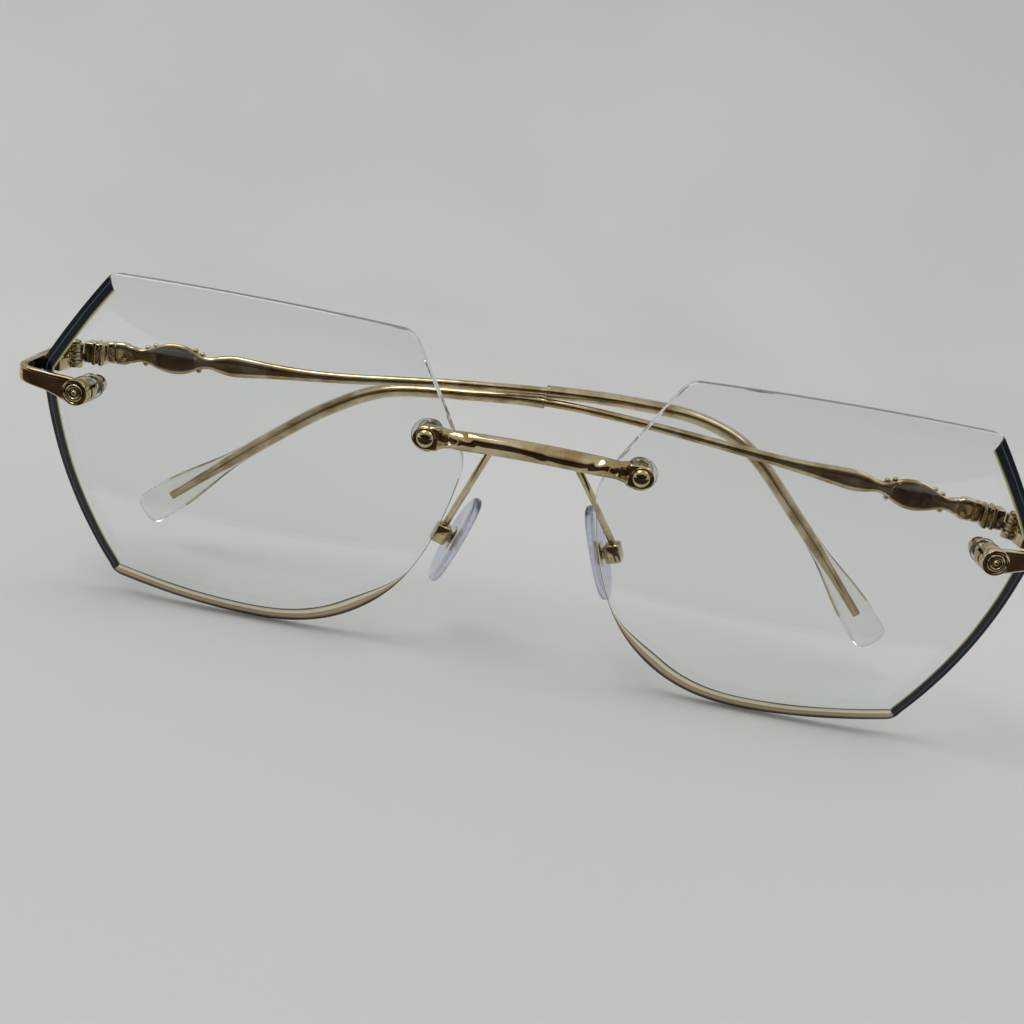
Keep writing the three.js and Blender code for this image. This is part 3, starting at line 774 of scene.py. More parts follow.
@dataclass(frozen=True)
class LensShape:
    """Sizes of a lens, its outline and its two round faces."""

    EDGE_UV = "edge"

    nasal: float = 9.1
    width: float = 57.6
    top: float = 12.9
    drop: float = 31.0
    side_z: float = -0.8
    nose_z: float = -3.0
    thickness: float = 2.0
    radius: float = 200.0
    facet: float = 2.1
    facet_drop: float = 0.95
    arris: float = 0.12
    outline_points: int = 620

    @property
    def centre(self) -> tuple[float, float]:
        """X and Z of the middle of the faces."""
        return self.nasal + self.width / 2, (self.top - self.drop) / 2 + 0.75

    def sag(self, radius: float, x: float, z: float) -> float:
        """How far back a face of a radius lies at (x, z)."""
        cx, cz = self.centre
        return radius - math.sqrt(radius**2 - (x - cx) ** 2 - (z - cz) ** 2)

    def apex(self) -> float:
        """Y of the foremost point, which leaves the washers their least thickness."""
        cx, cz = self.centre

        def washer(x: float, z: float, size: float) -> float:
            return self.sag(self.radius, x, z) - size * math.hypot(x - cx, z - cz) / self.radius

        joints = BridgeShape(), EndpieceShape()
        return 0.45 - min(
            washer(joints[0].eye_x, joints[0].eye_z, 2.2), washer(joints[1].eye_x, joints[1].eye_z, 1.75)
        )

    def front(self, x: float, z: float) -> float:
        """Y of the front face."""
        return self.apex() + self.sag(self.radius, x, z)

    def back(self, x: float, z: float) -> float:
        """Y of the back face."""
        return self.apex() + self.thickness + self.sag(self.radius - self.thickness, x, z)

    def outline(self) -> list[Vector]:
        """The outline as evenly spaced points (X, Z), from the nose side over the top."""
        outer = self.nasal + self.width + 0.7
        nose = Vector((self.nasal - 0.1, self.nose_z))
        top_in = Vector((self.nasal + 8.9, self.top - 0.4))
        top_out = Vector((outer - 9.2, self.top))
        side = Vector((outer, self.side_z))
        bottom_out = Vector((outer - 11.9, 2.3 - self.drop))
        lowest = Vector((self.nasal + 25, -self.drop))
        corners = [(nose, 2.2, 0.1), (top_in, 1.6, 0.45), (top_out, 1.3, 0.15), (side, 1.6, 1.55),
                   (bottom_out, 1.4, 0.0)]
        start = self._towards(nose, top_in, 2.2)
        path = [start]
        for i in range(4):
            (here, round_here, bulge), (after, round_after, _) = corners[i], corners[i + 1]
            leave, stop = self._towards(here, after, round_here), self._towards(after, here, round_after)
            chord = (after - here).normalized()
            pull = (leave + stop) / 2 + Vector((-chord.y, chord.x)) * 2 * bulge
            path += self._quadratic(leave, pull, stop)
            beyond = corners[i + 2][0] if i < 3 else lowest
            path += self._quadratic(stop, after, self._towards(after, beyond, round_after))
        path += self._quadratic(path[-1], Vector((self.nasal + 34, -self.drop)), lowest)
        a, b = Vector((lowest.x - 19.5, -self.drop)), Vector((nose.x + 1.7, nose.y - 11))
        path += self._cubic(lowest, a, b, Vector((nose.x + 0.1, nose.y - 2)))
        path += self._quadratic(path[-1], nose, start)
        return self._even(path)

    def facet_share(self, x: float, z: float) -> float:
        """How much of the full bevel the edge has at (x, z)."""
        below = smoothstep(-z, self.drop * 0.62, self.drop * 0.9)
        return max(below, self.outside(x, z))

    def outside(self, x: float, z: float) -> float:
        """1 along the two outer sides and 0 elsewhere."""
        outer = self.nasal + self.width
        low, high = Vector((outer - 11.2, 2.3 - self.drop)), Vector((outer - 8.5, self.top))
        way = (high - low).normalized()
        return smoothstep((x - low.x) * way.y - (z - low.y) * way.x, -0.6, 0.6)

    @staticmethod
    def _towards(start: Vector, end: Vector, distance: float) -> Vector:
        """The point at a distance from start on the way to end."""
        return start + (end - start).normalized() * distance

    @staticmethod
    def _quadratic(a: Vector, b: Vector, c: Vector, steps: int = 80) -> list[Vector]:
        """Points on a quadratic curve, without its first."""
        shares = [k / steps for k in range(1, steps + 1)]
        return [a * (1 - t) ** 2 + b * 2 * t * (1 - t) + c * t * t for t in shares]

    @staticmethod
    def _cubic(a: Vector, b: Vector, c: Vector, d: Vector, steps: int = 160) -> list[Vector]:
        """Points on a cubic curve, without its first."""
        made = []
        for k in range(1, steps + 1):
            t = k / steps
            s = 1 - t
            made.append(a * s**3 + b * 3 * s * s * t + c * 3 * s * t * t + d * t**3)
        return made

    def _even(self, path: list[Vector]) -> list[Vector]:
        """The closed path as evenly spaced points."""
        reach = [0.0]
        for a, b in zip(path, path[1:]):
            reach.append(reach[-1] + (b - a).length)
        made, k = [], 0
        for i in range(self.outline_points):
            goal = reach[-1] * i / self.outline_points
            while reach[k + 1] < goal or reach[k + 1] == reach[k]:
                k += 1
            made.append(path[k].lerp(path[k + 1], (goal - reach[k]) / (reach[k + 1] - reach[k])))
        return made


@dataclass
class Lens:
    """One clear lens with two drilled holes, its outer bevels coloured with a dark painted reflection and its lower
    bevels with a gold one.
    """

    side: Side
    palette: Palette
    shape: LensShape = field(default_factory=LensShape)
    hole: float = 1.1
    steps: tuple[float, ...] = (0.05, 0.2, 0.4, 0.6, 0.8, 0.93)
    across: tuple[float, ...] = (0.0, 0.1, 0.17, 0.4, 0.66, 0.7, 0.85, 1.0)
    CLEAR, NAVY, GILT, RIM = range(4)

    def build(self) -> bpy.types.Object:
        """Makes the lens and hands it over."""
        finishes = [self.palette.resin, self.palette.navy, self.palette.gilt, self.palette.rim]
        obj = dress(self._body(), finishes)
        obj = cut(obj, self._drills(), 20.0)
        obj.name = self.side.node("lens_clear")
        self._round_faces(obj)
        self._edge_map(obj)
        return hand_over(obj, Body.FRONT.on(self.side), [self.side.node("lens")], finishes)

    def _body(self) -> bpy.types.Object:
        """The lens blank with its bevels."""
        s = self.shape
        outline = s.outline()
        count = len(outline)
        centre = Vector(s.centre)
        inward = []
        for i in range(count):
            step = (outline[(i + 1) % count] - outline[i - 1]).normalized()
            normal = Vector((-step.y, step.x))
            inward.append(normal if normal.dot(centre - outline[i]) > 0 else -normal)
        share = [s.facet_share(p.x, p.y) for p in outline]
        inner = [p + n * (s.arris + s.facet * k) for p, n, k in zip(outline, inward, share)]
        rear = [p + n * s.arris for p, n in zip(outline, inward)]
        shell = Shell()
        rows: list[Ring] = []
        rows += [self._ring([centre.lerp(p, k) for p in inner], s.front) for k in self.steps]
        facet_start = len(rows)
        rim = [Vector((p.x, s.front(p.x, p.y) + s.arris + s.facet_drop * k, p.y)) for p, k in zip(outline, share)]
        first = self._ring(inner, s.front)
        for f in self.across:
            rows.append([a.lerp(b, f) for a, b in zip(first, rim)])
        facet_end = len(rows) - 1
        rows.append([Vector((p.x, s.back(p.x, p.y) - s.arris, p.y)) for p in outline])
        rows.append(self._ring(rear, s.back))
        rows += [self._ring([centre.lerp(p, k) for p in rear], s.back) for k in reversed(self.steps)]
        shell.loft(rows)
        for r in range(len(rows) - 1):
            for i in range(count):
                shell.slots[r * count + i] = self._finish(r, facet_start, facet_end, outline[i], share[i])
        return shell.build(self.side.node("lens_blank"), self.side, 20.0)

    def _finish(self, row: int, start: int, end: int, point: Vector, share: float) -> int:
        """The finish of a face of the loft.

        Args:
            row: the face's row from the front to the back.
            start: the first row of the bevel.
            end: the row of the rim.
            point: the outline's point (X, Z) there.
            share: how much bevel there is.

        Returns:
            The number of the finish.
        """
        if row < start or row > end + 1:
            return self.CLEAR
        # Outer bevels take the dark painted reflection, lower bevels the gold painted reflection.
        if self.shape.outside(point.x, point.y) > 0.5:
            return self.NAVY
        if row <= end and (share > 0.02 or (point.y < -6 and point.x < self.shape.centre[0])):
            return self.GILT
        return self.RIM

    def _ring(self, flat: list[Vector], face: Surface) -> Ring:
        """Points (X, Z) laid on a face of the lens."""
        return [Vector((p.x, face(p.x, p.y), p.y)) for p in flat]

    def _drills(self) -> list[bpy.types.Object]:
        """Cutters for the two holes."""
        made = []
        for number, joint in enumerate((BridgeShape(), EndpieceShape())):
            at = Vector((joint.eye_x, 0, joint.eye_z))
            drill = Shell().lathe([(0.01, -5), (self.hole, -5), (self.hole, 8), (0.01, 8)], at, segments=64)
            made.append(drill.build(f"drill_{number}", self.side))
        return made

    def _round_faces(self, obj: bpy.types.Object) -> None:
        """Gives the two round faces the normals of their spheres."""
        mesh = obj.data
        s = self.shape
        cx, cz = s.centre
        centre = Vector((cx * self.side.sign, s.apex() + s.radius, cz)) * MM
        normals = [Vector((0, 0, 0))] * len(mesh.loops)
        for face in mesh.polygons:
            if face.material_index != self.CLEAR or abs(face.normal.y) < 0.9:
                continue
            way = 1.0 if face.normal.y < 0 else -1.0
            for loop in face.loop_indices:
                out = mesh.vertices[mesh.loops[loop].vertex_index].co - centre
                normals[loop] = out.normalized() * way
        mesh.normals_split_custom_set(normals)

    def _edge_map(self, obj: bpy.types.Object) -> None:
        """Writes the bevel's own map: V runs across it from its inner line to the rim."""
        mesh = obj.data
        s = self.shape
        rim = [Vector((p.x * self.side.sign, p.y)) * MM for p in s.outline()]
        layer = mesh.uv_layers.new(name=LensShape.EDGE_UV)
        place: dict[int, tuple[float, float]] = {}
        for face in mesh.polygons:
            if face.material_index == self.CLEAR:
                continue
            for loop in face.loop_indices:
                vertex = mesh.loops[loop].vertex_index
                if vertex not in place:
                    co = mesh.vertices[vertex].co
                    near = min(range(0, len(rim)), key=lambda k: (rim[k].x - co.x) ** 2 + (rim[k].y - co.z) ** 2)
                    gap = math.hypot(rim[near].x - co.x, rim[near].y - co.z) / MM
                    share = s.facet_share(abs(rim[near].x) / MM, rim[near].y / MM)
                    place[vertex] = (near / len(rim), 1 - gap / (s.arris + s.facet * max(share, 0.02)))
                layer.data[loop].uv = place[vertex]


# ------------------------------------------------------------------------------------ bridge


@dataclass(frozen=True)
class BridgeShape:
    """Sizes of the bridge bar."""

    eye_x: float = 14.1
    arch: float = 0.4
    bar_high: float = 2.55
    neck_high: float = 2.4
    deep: float = 1.6
    eye_radius: float = 1.65
    eye_deep: float = 1.9

    @property
    def eye_z(self) -> float:
        """Height of the eyes."""
        return -self.arch


@dataclass
class Bridge:
    """The sculpted bar between the lenses, with a cupped eye at each end."""

    palette: Palette
    shape: BridgeShape = field(default_factory=BridgeShape)
    steps: int = 220
    around: int = 40
    cup: float = 1.28
    cup_deep: float = 0.5

    def build(self) -> bpy.types.Object:
        """Makes the bridge and hands it over."""
        s = self.shape
        end = s.eye_x + s.eye_radius
        rings = [self._ring(-end * math.cos(math.pi * i / self.steps)) for i in range(1, self.steps)]
        shell = Shell().loft(rings)
        bar = shell.build("bridge_blank", None, 30.0)
        cutters = []
        for way in (-1, 1):
            at = Vector((way * s.eye_x, -s.eye_deep, s.eye_z))
            profile = [(0.01, -1.5), (self.cup + 0.12, -1.5), (self.cup + 0.12, 0.02), (self.cup, 0.1),
                       (self.cup, self.cup_deep), (0.01, self.cup_deep)]
            cutters.append(Shell().lathe(profile, at, segments=64).build(f"cup_{way}"))
        bar = cut(bar, cutters, 30.0)
        bar.name = "bridge_sculpted"
        return hand_over(bar, Body.FRONT.value, ["bridge_bar"], [self.palette.gold])

    def _ring(self, x: float) -> Ring:
        """The section at X: a flat back and a sculpted front."""
        s = self.shape
        away = abs(x) - s.eye_x
        share = abs(x) / s.eye_x
        centre = -s.arch * min(1.0, share) ** 2
        middle = 1 - smoothstep(abs(x), 8.2, 11.2)
        bar = mix(s.neck_high, s.bar_high, middle) / 2
        flare = smoothstep(abs(x), s.eye_x - 3.4, s.eye_x - 0.7)
        disc = math.sqrt(max(0.0, s.eye_radius**2 - away**2)) if away > -s.eye_radius else 0.0
        high = max(disc, mix(bar, s.eye_radius * 0.97, flare)) if away < -0.6 else disc
        eye = smoothstep(abs(x), s.eye_x - 2.05, s.eye_x - 1.6)
        ring = []
        half = self.around // 2
        for i in range(half + 1):
            w = -1 + 2 * i / half
            w = math.sin(w * math.pi / 2)
            ring.append(Vector((x, -self._depth(x, w, middle, eye), centre + w * high)))
        for i in range(1, half):
            w = math.sin((1 - 2 * i / half) * math.pi / 2)
            ring.append(Vector((x, 0.0, centre + w * high)))
        return ring

    def _depth(self, x: float, w: float, middle: float, eye: float) -> float:
        """How far the front stands from the flat back.

        Args:
            x: place along the bar.
            w: place across it, from -1 below to 1 above.
            middle: 1 in the middle of the bar and 0 at its necks.
            eye: 1 at the eye and 0 along the bar.

        Returns:
            The depth in millimetres.
        """
        s = self.shape
        crest = 0.42 * math.sin(-x * 0.36) * middle
        slope = 1 - abs(w - crest) / (1 + abs(crest)) if abs(w) < 1 else 0.0
        round_part = math.sqrt(max(0.0, 1 - w * w)) ** 0.85
        crease = 0.55 * round_part + 0.45 * min(round_part, slope * 1.25)
        ridge = 0.14 * math.exp(-(((abs(x) - 8.9 - 0.9 * w) / 0.55) ** 2))
        groove = -0.12 * math.exp(-(((abs(x) - 7.7 - 1.1 * w) / 0.4) ** 2))
        wave = -0.09 * math.exp(-(((x - 0.4 + 2.6 * w) / 1.0) ** 2))
        reach = mix(0.12, 0.8, (abs(x) - 9.6) / (s.eye_x - 11.2))
        hollow = 1 - 0.4 * smoothstep(abs(x), 9.6, 10.6) * (1 - smoothstep(abs(w) / max(reach, 0.05), 0.45, 1.0))
        bar = s.deep * mix(0.96, 1.0, middle) * (0.3 + 0.7 * crease) * hollow
        bar += (ridge + groove + wave) * round_part
        edge = smoothstep(1 - abs(w), 0.0, 0.16)
        disc = s.eye_deep * (0.86 + 0.14 * edge)
        return mix(bar, disc, eye)


# ------------------------------------------------------------------------------------ endpiece


@dataclass(frozen=True)
class EndpieceShape:
    """Sizes of an endpiece."""

    eye_x: float = 60.0
    eye_z: float = -2.65
    eye_radius: float = 1.75
    eye_deep: float = 2.9
    bar_high: float = 2.5
    corner_high: float = 2.05
    bar_deep: float = 1.05
    edge_gap: float = 0.45


@dataclass(frozen=True)
class HingeShape:
    """Sizes of a hinge and of the temple's start."""

    x: float = 66.0
    y: float = 10.4
    z: float = -0.5
    radius: float = 1.2
    high: float = 3.3
    pin: float = 0.5
    head: float = 0.85
    leaf_deep: float = 0.8
    leaf_long: float = 3.4
    gap: float = 0.1
    temple_up: float = 0.6
    block_start: float = 4.3
    collar_half: float = 1.45
    collar_ring: float = 0.15

    @property
    def knuckle(self) -> float:
        """Height of one knuckle."""
        return (self.high - 2 * self.gap) / 3

    @property
    def bottom(self) -> float:
        """Height of the lower face."""
        return self.z - self.high / 2

    @property
    def top(self) -> float:
        """Height of the upper face."""
        return self.z + self.high / 2


@dataclass
class Endpiece:
    """The bar from the lens to the hinge, with a cupped eye over the lens."""

    side: Side
    palette: Palette
    shape: EndpieceShape = field(default_factory=EndpieceShape)
    hinge: HingeShape = field(default_factory=HingeShape)
    lens: LensShape = field(default_factory=LensShape)
    steps: int = 150

    def build(self) -> list[bpy.types.Object]:
        """Makes the endpiece and the hinge leaf on it."""
        return [self._bar(), self._leaf(), self._pin()]

    def _bend(self) -> Bend:
        """The line that the bar follows."""
        s, h = self.shape, self.hinge
        outside = self.lens.nasal + self.lens.width + s.edge_gap + s.bar_deep / 2
        y = -s.eye_deep + 0.35 + s.bar_deep / 2
        end_x = h.x - 0.3 + h.leaf_deep + h.gap + s.bar_deep / 2
        end_z = h.z + h.temple_up
        return Bend([
            Vector((s.eye_x, y, s.eye_z)),
            Vector((outside - 4.2, y, s.eye_z + 0.7)),
            Vector((outside - 0.9, y + 0.1, s.eye_z + 1.2)),
            Vector((outside - 0.1, y + 0.9, s.eye_z + 1.35)),
            Vector((outside, y + 4, s.eye_z + 1.75)),
            Vector((end_x, h.y - h.radius - 2.4, end_z - 0.2)),
            Vector((end_x, h.y - h.radius - h.gap, end_z)),
        ])

    def _bar(self) -> bpy.types.Object:
        """The bar and its eye."""
        s = self.shape
        bend = self._bend()
        stations = []
        for i in range(self.steps + 1):
            u = i / self.steps
            distance = bend.length * u
            flare = 1 - smoothstep(distance, 0.6, 4.2)
            high = mix(mix(s.bar_high, s.corner_high, smoothstep(u, 0.15, 0.45)) / 2, s.eye_radius * 0.93, flare)
            stations.append((distance, Section(high, s.bar_deep / 2, 6.0)))
        shell = Shell().loft(sweep(bend, stations, 48))
        bar = shell.build(self.side.node("bar_blank"), self.side, 40.0)
        at = Vector((s.eye_x, -s.eye_deep, s.eye_z))
        eye = Shell().lathe(
            [(0.01, s.eye_deep), (s.eye_radius - 0.1, s.eye_deep), (s.eye_radius, s.eye_deep - 0.1),
             (s.eye_radius, 1.75), (s.eye_radius - 0.14, 1.65), (s.eye_radius - 0.14, 1.45),
             (s.eye_radius, 1.35), (s.eye_radius, 0.3), (s.eye_radius - 0.09, 0.09),
             (s.eye_radius - 0.3, 0.0), (0.01, 0.0)],
            at, segments=72,
        ).build(self.side.node("eye_blank"), self.side, 30.0)
        cup = [(0.01, -1.0), (1.37, -1.0), (1.37, 0.03), (1.28, 0.12), (1.28, 0.5), (0.01, 0.5)]
        cutter = [Shell().lathe(cup, at, segments=72).build(f"cup_{n}", self.side) for n in range(2)]
        bar = cut(bar, cutter[:1], 40.0)
        eye = cut(eye, cutter[1:], 30.0)
        made = join([bar, eye], self.side.node("endpiece_bar"))
        return hand_over(made, Body.FRONT.value, [self.side.node("endpiece")], [self.palette.gold])

    def _leaf(self) -> bpy.types.Object:
        """The leaf on the endpiece, with the upper and lower knuckles."""
        h = self.hinge
        inner = h.x - 0.3
        plate_end = h.y - h.radius - h.gap
        low, high = (inner, plate_end - h.leaf_long, h.bottom), (inner + h.leaf_deep, plate_end, h.top)
        plate = Shell().box(low, high)
        for z0 in (h.bottom, h.top - h.knuckle):
            plate.box((inner, plate_end - 0.5, z0), (inner + h.leaf_deep, h.y, z0 + h.knuckle))
        parts = [plate.build("plate", self.side, 35.0, 0.1)]
        for z0 in (h.bottom, h.top - h.knuckle):
            parts.append(knuckle(h, z0, self.side))
        rivets = Shell()
        for y in (plate_end - h.leaf_long + 0.9, plate_end - 0.95):
            at = Vector((inner, y, h.z))
            first = len(rivets.points)
            rivets.lathe([(0.01, -0.12), (0.3, -0.1), (0.4, 0.0), (0.4, 0.2), (0.01, 0.2)], Vector(), segments=24)
            rivets.points[first:] = [at + Vector((p.y, p.x, p.z)) for p in rivets.points[first:]]
        parts.append(rivets.build("rivets", self.side))
        made = join(parts, self.side.node("hinge_leaf_plate"))
        node = self.side.node("hinge_front_leaf")
        return hand_over(made, Body.FRONT.value, [node], [self.palette.gold])

    def _pin(self) -> bpy.types.Object:
        """The slotted screw that the hinge turns on."""
        h = self.hinge
        top = h.top + h.gap
        profile = [(0.01, h.bottom - 0.1), (h.pin - 0.08, h.bottom - 0.1), (h.pin, h.bottom), (h.pin, top),
                   (h.head, top), (h.head, top + 0.22), (h.head - 0.14, top + 0.34), (0.01, top + 0.4)]
        pin = Shell().lathe(profile, Vector((h.x, h.y, 0)), "Z").build("pin_blank", self.side)
        slot = Shell().box((h.x - 1, h.y - 0.11, top + 0.2), (h.x + 1, h.y + 0.11, top + 1))
        made = cut(pin, [slot.build("slot", self.side)])
        made.name = self.side.node("hinge_pin_screw")
        node = self.side.node("hinge_screw")
        return hand_over(made, Body.FRONT.value, [node], [self.palette.screw])


def knuckle(hinge: HingeShape, z0: float, side: Side) -> bpy.types.Object:
    """One bored knuckle of a hinge.

    Args:
        hinge: the hinge's sizes.
        z0: height of its lower face.
        side: the side it belongs to.

    Returns:
        The knuckle.
    """
    r, bore, z1, b = hinge.radius, hinge.pin + 0.08, z0 + hinge.knuckle, 0.1
    profile = [(bore, z0), (r - b, z0), (r - b * 0.3, z0 + b * 0.3), (r, z0 + b), (r, z1 - b),
               (r - b * 0.3, z1 - b * 0.3), (r - b, z1), (bore, z1), (bore, z0)]
    return Shell().lathe(profile, Vector((hinge.x, hinge.y, 0)), "Z").build("knuckle", side)


def join(parts: Sequence[bpy.types.Object], name: str) -> bpy.types.Object:
    """Makes one object of several.

    Args:
        parts: mesh objects at the origin, which are removed.
        name: the new object's name.

    Returns:
        The joined object.
    """
    work = bmesh.new()
    for part in parts:
        work.from_mesh(part.data)
        bpy.data.objects.remove(part)
    mesh = bpy.data.meshes.new(name)
    work.to_mesh(mesh)
    work.free()
    obj = bpy.data.objects.new(name, mesh)
    bpy.context.scene.collection.objects.link(obj)
    return obj


# ------------------------------------------------------------------------------------ nodes that repeat


class NodeTool:
    """A Geometry Nodes tree with named inputs, made once and set on several objects."""

    def __init__(self, name: str) -> None:
        """Starts a tree with a geometry input and output."""
        self.tree = bpy.data.node_groups.new(name, "GeometryNodeTree")
        self.tree.interface.new_socket("Geometry", in_out="OUTPUT", socket_type="NodeSocketGeometry")
        self.tree.interface.new_socket("Geometry", in_out="INPUT", socket_type="NodeSocketGeometry")
        self.sockets: dict[str, str] = {}
        self.start: bpy.types.Node | None = None

    def ask(self, name: str, kind: str) -> None:
        """Adds a named input."""
        socket = self.tree.interface.new_socket(name, in_out="INPUT", socket_type=kind)
        self.sockets[name] = socket.identifier

    def input(self, name: str) -> bpy.types.NodeSocket:
        """The socket of a named input inside the tree."""
        if self.start is None:
            self.start = add_node(self.tree, "NodeGroupInput")
        return self.start.outputs[name]

    def end(self, geometry: bpy.types.NodeSocket) -> None:
        """Ends the tree with real geometry in its material, smooth."""
        real = add_node(self.tree, "GeometryNodeRealizeInstances", {"Geometry": geometry})
        smooth = add_node(self.tree, "GeometryNodeSetShadeSmooth", {"Geometry": real.outputs["Geometry"]})
        dressed = add_node(
            self.tree,
            "GeometryNodeSetMaterial",
            {"Geometry": smooth.outputs["Geometry"], "Material": self.input("Finish")},
        )
        add_node(self.tree, "NodeGroupOutput", {0: dressed.outputs["Geometry"]})

    def run(self, carrier: bpy.types.Object, name: str, **values: object) -> bpy.types.Object:
        """Sets the tree on an object and keeps the result as a plain mesh.

        Args:
            carrier: the object that holds the points or the path, which is removed.
            name: the new object's name.
            values: the named inputs.

        Returns:
            The plain object.
        """
        modifier = carrier.modifiers.new(self.tree.name, "NODES")
        modifier.node_group = self.tree
        for key, value in values.items():
            modifier[self.sockets[key.replace("_", " ").capitalize()]] = value
        return bake(carrier, name)


def wire_tool() -> NodeTool:
    """A round wire along a path, with closed ends."""
    tool = NodeTool("wire along a path")
    tool.ask("Radius", "NodeSocketFloat")
    tool.ask("Sides", "NodeSocketInt")
    tool.ask("Finish", "NodeSocketMaterial")
    circle = add_node(
        tool.tree,
        "GeometryNodeCurvePrimitiveCircle",
        {"Resolution": tool.input("Sides"), "Radius": tool.input("Radius")},
    )
    wire = add_node(
        tool.tree,
        "GeometryNodeCurveToMesh",
        {"Curve": tool.input("Geometry"), "Profile Curve": circle.outputs["Curve"], "Fill Caps": True},
    )
    tool.end(wire.outputs["Mesh"])
    return tool


def copies_tool() -> NodeTool:
    """Copies of one turned part, one at each point."""
    tool = NodeTool("turned part at each point")
    tool.ask("Part", "NodeSocketObject")
    tool.ask("Finish", "NodeSocketMaterial")
    part = add_node(tool.tree, "GeometryNodeObjectInfo", {"Object": tool.input("Part")})
    copies = add_node(
        tool.tree,
        "GeometryNodeInstanceOnPoints",
        {"Points": tool.input("Geometry"), "Instance": part.outputs["Geometry"]},
    )
    real = add_node(tool.tree, "GeometryNodeRealizeInstances", {"Geometry": copies.outputs["Instances"]})
    dressed = add_node(
        tool.tree,
        "GeometryNodeSetMaterial",
        {"Geometry": real.outputs["Geometry"], "Material": tool.input("Finish")},
    )
    add_node(tool.tree, "NodeGroupOutput", {0: dressed.outputs["Geometry"]})
    return tool


def bead_tool() -> NodeTool:
    """A small round bead at each point."""
    tool = NodeTool("bead at each point")
    tool.ask("Radius", "NodeSocketFloat")
    tool.ask("Finish", "NodeSocketMaterial")
    ball = add_node(
        tool.tree, "GeometryNodeMeshIcoSphere", {"Radius": tool.input("Radius"), "Subdivisions": 4}
    )
    copies = add_node(
        tool.tree,
        "GeometryNodeInstanceOnPoints",
        {"Points": tool.input("Geometry"), "Instance": ball.outputs["Mesh"]},
    )
    tool.end(copies.outputs["Instances"])
    return tool


def points_object(name: str, points: Sequence[Vector], side: Side | None = None) -> bpy.types.Object:
    """An object of loose points, in metres.

    Args:
        name: the object's name.
        points: the points in millimetres, drawn for the left side.
        side: the side that they belong to.

    Returns:
        The object.
    """
    turn = side.sign if side else 1.0
    mesh = bpy.data.meshes.new(name)
    mesh.from_pydata([(p.x * turn * MM, p.y * MM, p.z * MM) for p in points], [], [])
    obj = bpy.data.objects.new(name, mesh)
    bpy.context.scene.collection.objects.link(obj)
    return obj


def path_object(name: str, points: Sequence[Vector], side: Side) -> bpy.types.Object:
    """An object with one open path, in metres.

    Args:
        name: the object's name.
        points: the points in millimetres, drawn for the left side.
        side: the side that they belong to.

    Returns:
        The object.
    """
    curve = bpy.data.curves.new(name, "CURVE")
    curve.dimensions = "3D"
    spline = curve.splines.new("POLY")
    spline.points.add(len(points) - 1)
    for target, p in zip(spline.points, points):
        target.co = (p.x * side.sign * MM, p.y * MM, p.z * MM, 1.0)
    obj = bpy.data.objects.new(name, curve)
    bpy.context.scene.collection.objects.link(obj)
    return obj


# ------------------------------------------------------------------------------------ screwed joints


